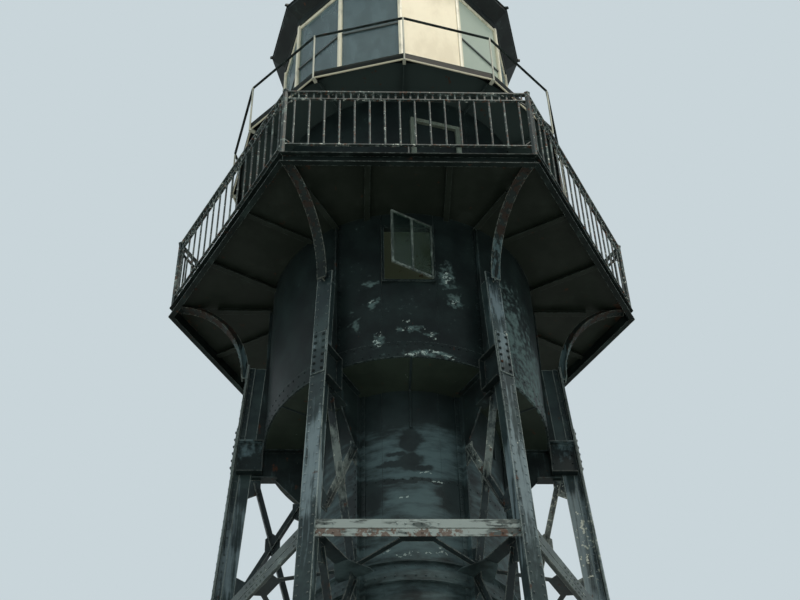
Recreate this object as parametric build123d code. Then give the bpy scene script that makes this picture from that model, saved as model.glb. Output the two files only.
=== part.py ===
from build123d import *
import math
import os

# An iron skeleton lighthouse: six leaning legs, a round stair column, a round watch room,
# a hexagonal gallery on curved brackets and a twelve-sided lantern.
# Millimetres, +Z up, origin on the ground at the tower's axis.
# Azimuth 0 is the front (-Y); azimuths turn towards +X.

# Plan
sides = 6
lantern_sides = 12
side_azimuths = [360 / sides * k for k in range(sides)]
leg_azimuths = [360 / sides * (k + 0.5) for k in range(sides)]
pane_azimuths = [360 / lantern_sides * (k + 0.5) for k in range(lantern_sides)]
corner_azimuths = [360 / lantern_sides * k for k in range(lantern_sides)]
half_side = math.radians(180 / sides)
half_pane = math.radians(180 / lantern_sides)
seat = 0.3
overlap = 1
cutter_margin = 10
cutter_depth = 400
bar_sides = 8

# Levels above the ground
deck_level = 11800
drum_foot_drop = 2120
top_ring_drop = 4280
leg_head_drop = 950
lantern_rise = 2070
ring_count = 4
drum_foot = deck_level - drum_foot_drop
top_ring = deck_level - top_ring_drop
ring_spacing = top_ring / ring_count
ring_levels = [top_ring - ring_spacing * k for k in range(ring_count)]
leg_head = deck_level - leg_head_drop
lantern_level = deck_level + lantern_rise

# Legs: cover plate, two angles and a web
leg_stand_off = 185
leg_batter = 0.059
leg_width = 170
leg_depth = 200
leg_cover = 12
leg_angle = 70
leg_angle_wall = 10
leg_web = 12
shoe_height = 200
shoe_size = 520
shoe_plate = 40
shoe_foot_margin = 85
shoe_head_margin = 25
shoe_cap_margin = 45
splice_width = 150
splice_height = 560
splice_wall = 10
splice_levels = [9670, 5100]

# Stair column
column_radius = 1000
column_wall = 10
column_joint_angle = 15
course_lap = 60
rib_base = 120
rib_wall = 12
rib_depth = 55
hub_height = 200
hub_wall = 30
hub_lip = 60
hub_lip_wall = 15
column_door_width = 560
column_door_height = 1460
column_door_sill = 160
column_frame_proud = 16
column_frame_sink = 25
door_strap_shares = (0.2, 0.8)
door_strap_half = 30

# Struts and braces
strut_leg = 90
strut_lower_leg = 75
strut_wall = 10
gusset_wall = 10
radial_strut_width = 140
radial_strut_stem = 60
brace_width = 60
brace_flange = 80
brace_wall = 12
brace_flange_wall = 8
brace_end = 45
brace_leg_rise = 300
corner_gusset_length = 230
corner_gusset_width = 110
corner_gusset_shoulder = 0.75
brace_end_share = 0.6
mid_gusset_length = 270
mid_gusset_width = 150
plan_brace_width = 50
plan_gusset_length = 440
plan_gusset_depth = 180
plan_gusset_taper = 0.62
plan_brace_spread = 0.45
plan_brace_root = 0.6
hub_gusset_reach = 270
hub_gusset_half = 180
hub_gusset_tip = 75
hub_gusset_shoulder = 60

# Beams and brackets at the drum's foot
beam_depth = 370
beam_flange = 110
beam_wall = 12
haunch_length = 300
haunch_tip = 40
beam_flange_lap = 20
box_height = 410
box_rise = 100
box_reach = 74
box_wall = 12

# Drum
drum_radius = 1490
drum_wall_thickness = 12
drum_curb_height = 200
drum_curb_wall = 10
lining_thickness = 25
floor_thickness = 12
post_wall = 12
window_width = 560
window_height = 850
window_drop = 220
window_frame_bar = 28
window_frame_depth = 70
window_frame_proud = 14
sash_bar = 20
sash_thickness = 22
sash_angle = 29
sash_corner = 18
sash_clearance = 2
glass_thickness = 6
door_azimuth = 14.5
door_width = 600
door_height = 1640
door_frame_bar = 55
door_leaf_thickness = 12

# Main gallery
gallery_radius = 2690
fascia_height = 150
fascia_flange = 50
fascia_wall = 10
deck_plate = 12
plate_gap = 2
joist_depth = 50
joist_width = 60
joist_wall = 10
joist_place = 430
corner_beam_depth = 60
corner_beam_stop = 560
bracket_foot_drop = 1080
bracket_stand_off = 61
bracket_tip_inset = 110
bracket_tip_drop = 40
bracket_flange = 110
bracket_flange_wall = 12
bracket_web_depth = 80
bracket_web = 12

# Main railing
rail_inset = 42
rail_height = 1067
post_half = 25
top_rail_width = 46
top_rail_height = 18
second_rail_drop = 118
lower_rail_height = 168
thin_rail_width = 30
thin_rail_height = 14
bars_per_side = 16
bar_radius = 11
spacer_width = 18
spacer_depth = 14
spacer_shift = 0.25
stay_width = 14
knee_share = 0.5
post_rise = 8
post_cap_margin = 8
post_cap_height = 12

# Lantern gallery and lantern
upper_gallery_radius = 2100
upper_plate = 15
upper_edge_height = 90
upper_edge_wall = 12
upper_rib_wall = 10
upper_rib_rise = 30
upper_rib_gap = 2
upper_rail_height = 740
upper_rail_radius = 16
upper_post_half = 11
upper_post_sides = 12
upper_foot_drop = 30
upper_foot_width = 36
upper_foot_reach = 60
lantern_radius = 1525
lantern_base_height = 400
lantern_base_wall = 12
glazing_height = 2090
lantern_frame_stile = 28
lantern_frame_rail = 60
lantern_frame_depth = 40
lower_light_height = 1047
transom_width = 26
lantern_bar_half = 25
lantern_bar_depth = 16

# Roof
eave_radius = 1715
frieze_height = 140
cove_height = 150
gutter_height = 60
eave_wall = 12
roof_overlap = 15
roof_rise = 870
roof_top_radius = 260
roof_wall = 12
hip_width = 30
hip_height = 22
hip_reach = 25
hip_sink = 15
open_foot = 0.01
neck_radius = 225
neck_height = 200
neck_flange_margin = 10
neck_flange_height = 25
drip_ring_drop = 40
drip_ring_reach = 45
drip_ring_height = 20
ball_radius = 290
ball_seat = 0.75
spike_height = 850
spike_radius = 14
spike_collar_radius = 42
spike_collar_height = 60

# Derived places
leg_radius_at_deck = drum_radius + leg_stand_off
box_top = drum_foot + box_rise
window_top = deck_level - window_drop
bracket_foot = deck_level - bracket_foot_drop
rib_tip = column_radius + column_wall + rib_depth
column_top = drum_foot
column_bore = column_radius - 2 * column_wall
drum_bore = drum_radius - drum_wall_thickness
drum_top = lantern_level - upper_plate - seat
window_half_angle = math.degrees(math.asin(window_width / 2 / drum_bore))
door_half_angle = math.degrees(math.asin(door_width / 2 / drum_bore))
box_inner = drum_radius + drum_curb_wall + 2 * seat
rail_radius = gallery_radius - rail_inset
bracket_foot_radius = leg_radius_at_deck + leg_batter * (deck_level - bracket_foot) + bracket_stand_off
bracket_reach = gallery_radius - bracket_tip_inset - bracket_foot_radius
bracket_rise = deck_level - bracket_tip_drop - bracket_foot
corner_beam_reach = gallery_radius - corner_beam_stop
fascia_apothem = gallery_radius * math.cos(half_side)
fascia_back = fascia_apothem - fascia_flange - fascia_wall
deck_underside = deck_level - deck_plate
lantern_apothem = lantern_radius * math.cos(half_pane)
lantern_sill = lantern_level + lantern_base_height
lantern_top = lantern_sill + glazing_height
transom_level = lantern_sill + lantern_frame_rail + lower_light_height + transom_width / 2

radial_plane = Plane(origin=(0, 0, 0), x_dir=(0, -1, 0), z_dir=(-1, 0, 0))


def leg_face(level):
    """Radius of a leg's outer face at a level."""
    return leg_radius_at_deck + leg_batter * (deck_level - level)


def leg_inside(level):
    """Radius of the inner edge of a leg's web at a level."""
    return leg_face(level) - leg_depth


def around(shape, azimuths):
    """Copies of a front piece turned to each azimuth."""
    return [Rot(0, 0, azimuth) * shape for azimuth in azimuths]


def outline(points):
    """A closed flat face through points."""
    return make_face(Polyline(*points, close=True))


def radial_plate(points, thickness):
    """A plate in the radial plane at the front, from (radius, level) points."""
    return extrude(radial_plane * outline(points), thickness / 2, both=True)


def flat_plate(points, level, thickness):
    """A level plate from (x, y) points, with its underside at a level."""
    return extrude(Plane.XY.offset(level) * outline(points), thickness)


def block(width, low_radius, high_radius, low, high, offset=0):
    """A box at the front between two radii and two levels, centred sideways on an offset."""
    centre = (offset, -(low_radius + high_radius) / 2, (low + high) / 2)
    return Pos(*centre) * Box(width, high_radius - low_radius, high - low)


def shell_segment(profile, half_angle):
    """A curved wall at the front: a (radius, level) profile turned about the tower's axis."""
    turned = revolve(radial_plane * outline(profile), Axis.Z, 2 * half_angle)
    return Rot(0, 0, -half_angle) * turned


def gap_angle(radius, gap):
    """Half of a joint gap as an angle at a radius, in degrees."""
    return math.degrees(gap / 2 / radius)


def leaning(points, low, high):
    """A section of (sideways, inward) points that follows the lean of a leg."""
    start = leg_face(low)
    section = Pos(0, -start, low) * outline(points)
    lean = Vector(0, start - leg_face(high), high - low)
    return extrude(section, lean.length, dir=lean.normalized())


def in_plane_bar(start, end, width, side=0):
    """Corners of a bar between two (radius, level) points, moved sideways by a share of its width."""
    dx = end[0] - start[0]
    dz = end[1] - start[1]
    length = math.hypot(dx, dz)
    nx = -dz / length
    nz = dx / length
    low = width * (side - 0.5)
    high = width * (side + 0.5)
    return [
        (start[0] + nx * low, start[1] + nz * low),
        (end[0] + nx * low, end[1] + nz * low),
        (end[0] + nx * high, end[1] + nz * high),
        (start[0] + nx * high, start[1] + nz * high),
    ]


# Legs
def make_leg():
    cover = leg_width / 2
    web = leg_web / 2
    angle = web + leg_angle
    root = web + leg_angle_wall
    under = leg_cover + leg_angle_wall
    right = [(cover, 0), (cover, leg_cover), (angle, leg_cover), (angle, under), (root, under),
             (root, leg_cover + leg_angle), (web, leg_cover + leg_angle), (web, leg_depth)]
    left = [(-x, y) for x, y in reversed(right)]
    return leaning(right + left, shoe_height, leg_head)


def make_shoe():
    centre = leg_face(shoe_height) - leg_depth / 2
    plate = Pos(0, -centre, shoe_plate / 2) * Box(shoe_size, shoe_size, shoe_plate)
    cap_low = shoe_height - shoe_plate / 2
    cap = Pos(0, -centre, (cap_low + shoe_height) / 2) * Box(
        leg_width + 2 * shoe_cap_margin, leg_depth + 2 * shoe_cap_margin, shoe_plate / 2)
    foot = Plane.XY.offset(shoe_plate) * Pos(0, -centre) * Rectangle(
        leg_width + 2 * shoe_foot_margin, leg_depth + 2 * shoe_foot_margin)
    head = Plane.XY.offset(cap_low) * Pos(0, -centre) * Rectangle(
        leg_width + 2 * shoe_head_margin, leg_depth + 2 * shoe_head_margin)
    return plate + loft([foot, head]) + cap


def make_splice(centre):
    half = splice_width / 2
    points = [(-half, -splice_wall), (half, -splice_wall), (half, 0), (-half, 0)]
    return leaning(points, centre - splice_height / 2, centre + splice_height / 2)


# Stair column
def course_joints():
    """Levels of the lapped joints between plate courses, from the ground up."""
    stops = [0] + sorted(ring_levels) + [column_top]
    levels = [0]
    for low, high in zip(stops, stops[1:]):
        levels.append((low + high) / 2)
        levels.append(high)
    return levels


def column_profile():
    """The wall's profile: outer and inner courses by turns, each lapped behind the next."""
    joints = course_joints()
    outer = []
    inner = []
    for k, (low, high) in enumerate(zip(joints, joints[1:])):
        inward = column_wall if k % 2 else 0
        face = column_radius - inward
        outer += [(face, low), (face, high)]
    for k, (low, high) in enumerate(zip(joints, joints[1:])):
        inward = column_wall if k % 2 else 0
        back = column_radius - inward - column_wall
        grow = course_lap if inward else 0
        bottom = low - grow if k else low
        top = high + grow if k < len(joints) - 2 else high
        cut = course_lap if not inward else 0
        bottom = bottom + cut if k else bottom
        top = top - cut if k < len(joints) - 2 else top
        inner += [(back, bottom), (back, top)]
    return outer + list(reversed(inner))


def column_strip(start, end):
    """A full-height strip of the column's wall between two azimuths, with a joint gap at each edge."""
    half = (end - start) / 2 - gap_angle(column_radius, plate_gap)
    return Rot(0, 0, (start + end) / 2) * shell_segment(column_profile(), half)


def make_column_plates():
    """Three strips a side; at the front the joints move to the jambs of the doorway."""
    edge = 180 / sides
    jamb = math.degrees(math.asin(column_door_width / 2 / column_bore))
    strips = [column_strip(-edge, -column_joint_angle), column_strip(-column_joint_angle, column_joint_angle),
              column_strip(column_joint_angle, edge)]
    plates = [plate for strip in strips for plate in around(strip, side_azimuths[1:])]
    front = column_strip(-jamb, jamb)
    centre = column_door_sill + column_door_height / 2
    doorway = Pos(0, -column_radius, centre) * Box(2 * column_door_width, cutter_depth, column_door_height)
    return plates + [column_strip(-edge, -jamb), column_strip(jamb, edge), front - doorway]


def make_rib():
    low = column_radius
    high = column_radius + column_wall
    half = math.degrees(rib_base / 2 / column_radius)
    base = shell_segment([(low, 0), (high, 0), (high, column_top), (low, column_top)], half)
    return base + block(rib_wall, high - 2 * overlap, rib_tip, 0, column_top)


def make_hub_band(level):
    """A flanged band between two ribs at a strut ring."""
    low = level - hub_height / 2
    high = level + hub_height / 2
    rib_half = math.degrees((rib_base / 2 + seat) / column_radius)
    face = column_radius + hub_wall
    lip = column_radius + hub_lip
    profile = [(column_radius, low), (face, low), (face, high - hub_lip_wall),
               (lip, high - hub_lip_wall), (lip, high), (column_radius, high)]
    return shell_segment(profile, 180 / sides - rib_half)


def make_foot_band():
    """The flanged foot ring between two ribs, in three lengths."""
    rib_half = math.degrees((rib_base / 2 + seat) / column_radius)
    lip = column_radius + 2 * hub_lip
    face = column_radius + hub_wall
    top = column_door_sill - seat
    profile = [(column_radius, 0), (lip, 0), (lip, hub_wall), (face, hub_wall), (face, top),
               (column_radius, top)]
    edge = 180 / sides - rib_half
    joint = gap_angle(column_radius, plate_gap)
    stops = [-edge - joint, -column_joint_angle, column_joint_angle, edge + joint]
    return [Rot(0, 0, (low + high) / 2) * shell_segment(profile, (high - low) / 2 - joint)
            for low, high in zip(stops, stops[1:])]


def hub_gusset_points(grow=0):
    """The gusset's outline; grown, it cuts the plan braces back from the gusset."""
    root = rib_tip + (0 if grow else seat)
    shoulder = root + hub_gusset_shoulder
    tip = rib_tip + hub_gusset_reach + grow
    return [(-hub_gusset_half - grow, -root), (-hub_gusset_half - grow, -shoulder),
            (-hub_gusset_tip - grow, -tip), (hub_gusset_tip + grow, -tip),
            (hub_gusset_half + grow, -shoulder), (hub_gusset_half + grow, -root)]


def make_hub_gusset(level):
    return flat_plate(hub_gusset_points(), level - gusset_wall / 2, gusset_wall)


def door_ring(width, height, bar, low, back, front):
    """A rectangular door or window frame with its outer size and its bar width."""
    whole = block(width, back, front, low, low + height)
    hole = block(width - 2 * bar, back - cutter_margin, front + cutter_margin, low + bar, low + height - bar)
    return whole - hole


def make_column_door_frame():
    back = column_bore - column_frame_sink
    front = column_radius + column_frame_proud
    width = column_door_width - 2 * seat
    height = column_door_height - 2 * seat
    return door_ring(width, height, door_frame_bar, column_door_sill + seat, back, front)


def make_column_door():
    width = column_door_width - 2 * (door_frame_bar + 2 * seat)
    low = column_door_sill + door_frame_bar + 2 * seat
    high = column_door_sill + column_door_height - door_frame_bar - 2 * seat
    face = column_bore + door_leaf_thickness
    leaf = block(width, column_bore, face, low, high)
    for share in door_strap_shares:
        level = low + (high - low) * share
        leaf += block(width, face - overlap, face + door_leaf_thickness, level - door_strap_half,
                      level + door_strap_half)
    return leaf


# Strut rings
def side_strut(level):
    """Upper and lower angle of a side strut, with a gap for the gussets between them."""
    face = leg_face(level + strut_leg) * math.cos(half_side)
    web = leg_web / 2 + leg_angle_wall
    end = ((face - strut_leg) * math.sin(half_side) - web) / math.cos(half_side) - seat
    gap = gusset_wall / 2
    upper = block(2 * end, face - strut_wall, face, level + gap, level + gap + strut_leg)
    upper += block(2 * end, face - strut_leg, face, level + gap, level + gap + strut_wall)
    lower = block(2 * end, face - strut_wall, face, level - gap - strut_lower_leg, level - gap)
    lower += block(2 * end, face - strut_lower_leg, face, level - gap - strut_wall, level - gap)
    return [upper, lower]


def radial_strut(level):
    low = level + gusset_wall / 2
    high = low + strut_wall
    end = leg_inside(high + radial_strut_stem) - seat
    start = rib_tip + seat
    return (block(radial_strut_width, start, end, low, high)
            + block(2 * strut_wall, start, end, high - overlap, high + radial_strut_stem))


def plan_brace(level):
    """The flat V of a bay: a gusset on the side strut and a bar to the hub on each side."""
    face = leg_face(level + strut_leg) * math.cos(half_side) - strut_wall - seat
    low = level - gusset_wall / 2
    half = plan_gusset_length / 2
    back = face - plan_gusset_depth
    narrow = half * plan_gusset_taper
    gusset = [(-half, -face), (half, -face), (narrow, -back), (-narrow, -back)]
    shape = flat_plate(gusset, low, gusset_wall)
    hub = rib_tip + hub_gusset_reach / 2
    for sign in (-1, 1):
        start = (sign * half * plan_brace_spread, -(face - plan_gusset_depth * plan_brace_root))
        end = (sign * hub * math.sin(half_side), -hub * math.cos(half_side))
        shape += flat_plate(in_plane_bar(start, end, plan_brace_width), low, gusset_wall)
    for azimuth in (-180 / sides, 180 / sides):
        cutter = flat_plate(hub_gusset_points(seat), low - cutter_margin, gusset_wall + 2 * cutter_margin)
        shape -= Rot(0, 0, azimuth) * cutter
    return shape


# Radial braces between a leg and the column
def brace_bar(start, end, side):
    flat = radial_plate(in_plane_bar(start, end, brace_width), brace_wall)
    edge = in_plane_bar(start, end, brace_flange_wall, side * (brace_width / brace_flange_wall - 1) / 2)
    return flat + radial_plate(edge, brace_flange)


def corner_gusset(edge, level, rise, reach):
    """A gusset from a level along a leg or rib edge; edge gives the radius at a level."""
    far = level + rise
    near = level + rise * corner_gusset_shoulder
    return radial_plate([(edge(level), level), (edge(far), far), (edge(level) + reach, near),
                         (edge(level) + reach, level)], brace_wall)


def brace_panel(low_hub, low_leg, top_hub, top_leg):
    """An X brace: four corner gussets, a middle gusset and two flanged bars."""
    length = corner_gusset_length
    width = corner_gusset_width

    def hub(level):
        return rib_tip + seat

    def leg(level):
        return leg_inside(level) - seat

    inset = width * brace_end_share
    ends = [(leg(top_leg) - inset, top_leg - brace_end), (hub(low_hub) + inset, low_hub + brace_end),
            (hub(top_hub) + inset, top_hub - brace_end), (leg(low_leg) - inset, low_leg + brace_end)]
    panel = brace_bar(ends[0], ends[1], 1)
    panel += brace_bar(ends[2], ends[3], -1)
    panel += corner_gusset(leg, top_leg, -length, -width)
    panel += corner_gusset(leg, low_leg, length, -width)
    panel += corner_gusset(hub, top_hub, -length, width)
    panel += corner_gusset(hub, low_hub, length, width)
    radius, level = crossing(*ends)
    tall = mid_gusset_length / 2
    wide = mid_gusset_width / 2
    panel += radial_plate([(radius - wide, level - tall / 2), (radius, level - tall),
                           (radius + wide, level - tall / 2), (radius + wide, level + tall / 2),
                           (radius, level + tall), (radius - wide, level + tall / 2)], brace_wall)
    return panel


def crossing(a, b, c, d):
    """Where the line from a to b crosses the line from c to d."""
    ux, uy = b[0] - a[0], b[1] - a[1]
    vx, vy = d[0] - c[0], d[1] - c[1]
    share = ((c[0] - a[0]) * vy - (c[1] - a[1]) * vx) / (ux * vy - uy * vx)
    return a[0] + ux * share, a[1] + uy * share


def brace_panels():
    """All the X braces of one leg, from the drum's beams down to the shoes."""
    stem = gusset_wall / 2 + strut_wall + radial_strut_stem
    tops = [level - gusset_wall / 2 - seat for level in ring_levels]
    top_legs = [drum_foot - beam_depth - seat] + tops
    top_hubs = [drum_foot - beam_depth - haunch_length - seat] + tops
    feet = [level + stem + seat for level in ring_levels] + [shoe_height + seat]
    return [brace_panel(foot, foot + brace_leg_rise, top_hub, top_leg)
            for foot, top_hub, top_leg in zip(feet, top_hubs, top_legs)]


# Under the drum
def radial_beam():
    top = drum_foot
    foot = top - beam_depth
    start = rib_tip + seat
    web = [(start, top), (leg_inside(top) - seat, top), (leg_inside(foot) - seat, foot),
           (start + haunch_length, foot), (start + haunch_tip, foot - haunch_length),
           (start, foot - haunch_length)]
    end = leg_inside(top) - seat
    return (radial_plate(web, beam_wall)
            + block(beam_flange, start, box_inner - seat, top - beam_wall, top)
            + block(beam_flange, start + haunch_length - beam_flange_lap, end, foot, foot + beam_wall))


def box_bracket(sign):
    """A flanged connection bracket on one side of a leg's web."""
    low = box_top - box_height
    outer = leg_face(box_top) - leg_cover - leg_angle_wall - seat
    start = leg_web / 2 + leg_angle_wall
    middle = sign * (start + box_reach / 2)
    shape = block(box_wall, box_inner, outer, low, box_top, sign * (start + box_wall / 2))
    shape += block(box_reach, box_inner, outer, box_top - box_wall, box_top, middle)
    shape += block(box_reach, box_inner, outer, low, low + box_wall, middle)
    shape += block(box_reach, box_inner, box_inner + box_wall, low, box_top, middle)
    return shape


def drum_post():
    """The web plate that joins the drum to a leg, and goes on up to the gallery."""
    top = deck_underside - corner_beam_depth - seat
    inner = drum_radius + seat
    points = [(inner, drum_foot + seat), (leg_inside(drum_foot) - seat, drum_foot + seat),
              (leg_inside(leg_head) - seat, leg_head), (leg_inside(leg_head) - seat, top), (inner, top)]
    return radial_plate(points, post_wall)


# Drum
def window_cutter():
    centre = window_top - window_height / 2
    return Pos(0, -drum_radius, centre) * Box(window_width, cutter_depth, window_height)


def wall_plate(start, end, low, high):
    """A plate of the drum's wall between two azimuths and two levels, with a joint gap round it."""
    edge = plate_gap / 2
    profile = [(drum_bore, low + edge), (drum_radius, low + edge), (drum_radius, high - edge),
               (drum_bore, high - edge)]
    half = (end - start) / 2 - gap_angle(drum_radius, plate_gap)
    return Rot(0, 0, (start + end) / 2) * shell_segment(profile, half)


def make_drum_wall():
    """Two tiers of plates; the front ones leave the window's and the gallery door's opening."""
    edge = 180 / sides
    joint = plate_gap / 2
    lower = wall_plate(-edge, edge, drum_foot - joint, deck_level)
    upper = wall_plate(-edge, edge, deck_level, drum_top + joint)
    plates = around(lower, side_azimuths[1:]) + around(upper, side_azimuths[1:])
    jamb = window_half_angle
    plates.append(wall_plate(-edge, -jamb, drum_foot - joint, deck_level))
    plates.append(wall_plate(jamb, edge, drum_foot - joint, deck_level))
    plates.append(wall_plate(-jamb, jamb, drum_foot - joint, window_top - window_height + joint))
    plates.append(wall_plate(-jamb, jamb, window_top - joint, deck_level))
    left = door_azimuth - door_half_angle
    right = door_azimuth + door_half_angle
    plates.append(wall_plate(-edge, left, deck_level, drum_top + joint))
    plates.append(wall_plate(right, edge, deck_level, drum_top + joint))
    plates.append(wall_plate(left, right, deck_level + door_height - joint, drum_top + joint))
    return plates


def make_drum_curb():
    """The riveted angle round the foot of the drum, cut round the legs' web plates."""
    half = 180 / sides - math.degrees((post_wall / 2 + seat) / drum_radius)
    low = drum_foot + seat
    inner = drum_radius + seat
    profile = [(inner, low), (drum_radius + drum_curb_wall, low),
               (drum_radius + drum_curb_wall, low + drum_curb_height), (inner, low + drum_curb_height)]
    return shell_segment(profile, half)


def make_lining():
    outer = drum_bore - seat
    inner = outer - lining_thickness
    low = drum_foot + floor_thickness + seat
    high = deck_level - floor_thickness - seat
    half = 180 / sides - gap_angle(drum_radius, plate_gap)
    plate = shell_segment([(inner, low), (outer, low), (outer, high), (inner, high)], half)
    return [plate - window_cutter()] + around(plate, side_azimuths[1:])


def make_floor(top):
    disc = Cylinder(drum_bore - seat, floor_thickness, align=(Align.CENTER, Align.CENTER, Align.MAX))
    return Pos(0, 0, top) * disc


def make_window_frame():
    back = drum_radius + window_frame_proud - window_frame_depth
    low = window_top - window_height + seat
    return door_ring(window_width - 2 * seat, window_height - 2 * seat, window_frame_bar,
                     low, back, drum_radius + window_frame_proud)


def sash_place():
    """The hinge at the right jamb, swung outwards."""
    hinge_x = window_width / 2 - window_frame_bar
    hinge_y = -(drum_radius + window_frame_proud + seat)
    return Pos(hinge_x, hinge_y, window_top - window_height / 2) * Rot(0, 0, sash_angle)


def sash_lights():
    """Centre and size of the two lights of the sash, seen from the hinge."""
    width = window_width - 2 * (window_frame_bar + sash_clearance)
    height = window_height - 2 * (window_frame_bar + sash_clearance)
    light = (width - 3 * sash_bar) / 2
    centres = [-(sash_bar + light / 2), -(2 * sash_bar + 1.5 * light)]
    return width, height, light, centres


def make_sash():
    width, height, light, centres = sash_lights()
    frame = Plane.XZ * (Pos(-width / 2, 0) * Rectangle(width, height))
    for centre in centres:
        frame -= Plane.XZ * (Pos(centre, 0) * RectangleRounded(light, height - 2 * sash_bar, sash_corner))
    return sash_place() * extrude(frame, sash_thickness)


def make_sash_glass():
    width, height, light, centres = sash_lights()
    panes = []
    for centre in centres:
        hole = RectangleRounded(light - 2 * seat, height - 2 * (sash_bar + seat), sash_corner)
        face = Plane.XZ.offset((sash_thickness - glass_thickness) / 2) * (Pos(centre, 0) * hole)
        panes.append(sash_place() * extrude(face, glass_thickness))
    return panes


def make_gallery_door_frame():
    back = drum_radius + window_frame_proud - window_frame_depth
    frame = door_ring(door_width - 2 * seat, door_height - 2 * seat, door_frame_bar,
                      deck_level + seat, back, drum_radius + window_frame_proud)
    return Rot(0, 0, door_azimuth) * frame


def make_gallery_door():
    margin = door_frame_bar + 2 * seat
    width = door_width - 2 * margin
    back = drum_radius - window_frame_depth / 2
    leaf = block(width, back, back + door_leaf_thickness, deck_level + margin,
                 deck_level + door_height - margin)
    return Rot(0, 0, door_azimuth) * leaf


# Main gallery
def make_deck_sector():
    half = half_side
    gap = plate_gap / 2 / math.cos(half)
    inner = drum_radius + seat
    outer_x = fascia_back * math.tan(half) - gap
    inner_y = inner * math.cos(half)
    inner_x = inner_y * math.tan(half) - gap
    rim = make_face(Polyline((inner_x, -inner_y), (outer_x, -fascia_back), (-outer_x, -fascia_back),
                             (-inner_x, -inner_y), close=True))
    plate = extrude(Plane.XY.offset(deck_underside) * rim, deck_plate)
    return plate - Pos(0, 0, deck_level) * Cylinder(inner, cutter_depth)


def make_fascia():
    """A length of channel with its flanges outwards, mitred at the gallery's corners."""
    low = deck_level - fascia_height
    tip = fascia_apothem
    face = fascia_back + fascia_wall
    section = [(fascia_back + seat, low), (tip, low), (tip, low + fascia_wall), (face, low + fascia_wall),
               (face, deck_level - fascia_wall), (tip, deck_level - fascia_wall), (tip, deck_level),
               (fascia_back + seat, deck_level)]
    long = gallery_radius
    channel = extrude(radial_plane * outline(section), long, both=True)
    wedge_x = 2 * tip * math.tan(half_side) - plate_gap
    wedge = flat_plate([(0, -plate_gap), (wedge_x, -2 * tip), (-wedge_x, -2 * tip)],
                       low - cutter_margin, fascia_height + 2 * cutter_margin)
    return channel & wedge


def make_joist(place):
    low = deck_underside - joist_depth
    start = drum_radius - cutter_depth / 2
    end = fascia_back
    shape = block(joist_wall, start, end, low, deck_underside, place)
    shape += block(joist_width, start, end, low, low + joist_wall, place)
    return shape - Pos(0, 0, low) * Cylinder(drum_radius + seat, cutter_depth)


def make_corner_beam():
    low = deck_underside - corner_beam_depth
    start = drum_radius + seat
    return (block(joist_wall, start, corner_beam_reach, low, deck_underside)
            + block(joist_width, start, corner_beam_reach, low, low + joist_wall))


def arch(low, high):
    """The (radius, level) face between two quarter ellipses grown from the bracket's curve."""
    centre = (bracket_foot_radius + bracket_reach, bracket_foot)
    inner = EllipticalCenterArc(centre, bracket_reach + low, bracket_rise + low,
                                start_angle=90, arc_size=90)
    outer = EllipticalCenterArc(centre, bracket_reach + high, bracket_rise + high,
                                start_angle=90, arc_size=90)
    return make_face([inner, Line(inner @ 1, outer @ 1), outer, Line(outer @ 0, inner @ 0)])


def make_gallery_bracket():
    """A curved T: its flange follows a quarter of an ellipse from leg head to gallery corner."""
    flange = extrude(radial_plane * arch(0, bracket_flange_wall), bracket_flange / 2, both=True)
    web = extrude(radial_plane * arch(bracket_flange_wall / 2, bracket_web_depth), bracket_web / 2, both=True)
    shape = flange + web
    foot = bracket_foot - cutter_margin
    leg = [(leg_inside(foot), foot), (leg_face(foot) + seat, foot),
           (leg_face(leg_head) + seat, leg_head + seat), (leg_inside(leg_head), leg_head + seat)]
    shape -= radial_plate(leg, leg_width + 2 * cutter_margin)
    above = Pos(0, 0, deck_underside - seat) * Box(3 * gallery_radius, 3 * gallery_radius, cutter_depth,
                                                   align=(Align.CENTER, Align.CENTER, Align.MIN))
    shape -= above
    return shape


# Main railing
def make_rail_panel():
    """One side of the railing between two corner posts."""
    centre = rail_radius * math.cos(half_side)
    half = rail_radius * math.sin(half_side) - post_half
    base = deck_level
    top = base + rail_height
    second = top - second_rail_drop
    lower = base + lower_rail_height
    span = 2 * half

    def rail(width, height, upper):
        return block(span, centre - width / 2, centre + width / 2, upper - height, upper)

    panel = rail(top_rail_width, top_rail_height, top)
    panel += rail(thin_rail_width, thin_rail_height, second)
    panel += rail(thin_rail_width, thin_rail_height, lower)
    pitch = span / bars_per_side
    bar = extrude(RegularPolygon(bar_radius, bar_sides), second - thin_rail_height - lower + 2 * overlap)
    spacer_low = second
    spacer_high = top - top_rail_height
    pieces = []
    for k in range(bars_per_side):
        x = -half + pitch * (k + 0.5)
        pieces.append(Pos(x, -centre, lower - overlap) * bar)
        for shift in (-spacer_shift, spacer_shift):
            pieces.append(block(spacer_width, centre - spacer_depth / 2, centre + spacer_depth / 2,
                                spacer_low - overlap, spacer_high + overlap, x + pitch * shift))
    pieces.append(block(stay_width, centre - stay_width / 2, centre + stay_width / 2, base, lower - overlap))
    knee = pitch * knee_share
    for sign in (-1, 1):
        corner = sign * half
        for level, rise in ((lower - overlap, 1), (second - thin_rail_height + overlap, -1)):
            points = [(corner, level + rise * knee), (corner, level + rise * (knee - stay_width)),
                      (corner - sign * (knee - stay_width), level), (corner - sign * knee, level)]
            strip = Plane.XZ.offset(centre - stay_width / 2) * outline(points)
            pieces.append(extrude(strip, stay_width))
    return panel + pieces


def make_gallery_post():
    """A six-sided post whose flats meet the rails of both sides."""
    section = RegularPolygon(post_half, sides, major_radius=False)
    post = Pos(0, -rail_radius, deck_level) * extrude(section, rail_height + post_rise)
    cap = RegularPolygon(post_half + post_cap_margin, sides, major_radius=False)
    return post + Pos(0, -rail_radius, deck_level + rail_height + post_rise) * extrude(cap, post_cap_height)


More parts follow.
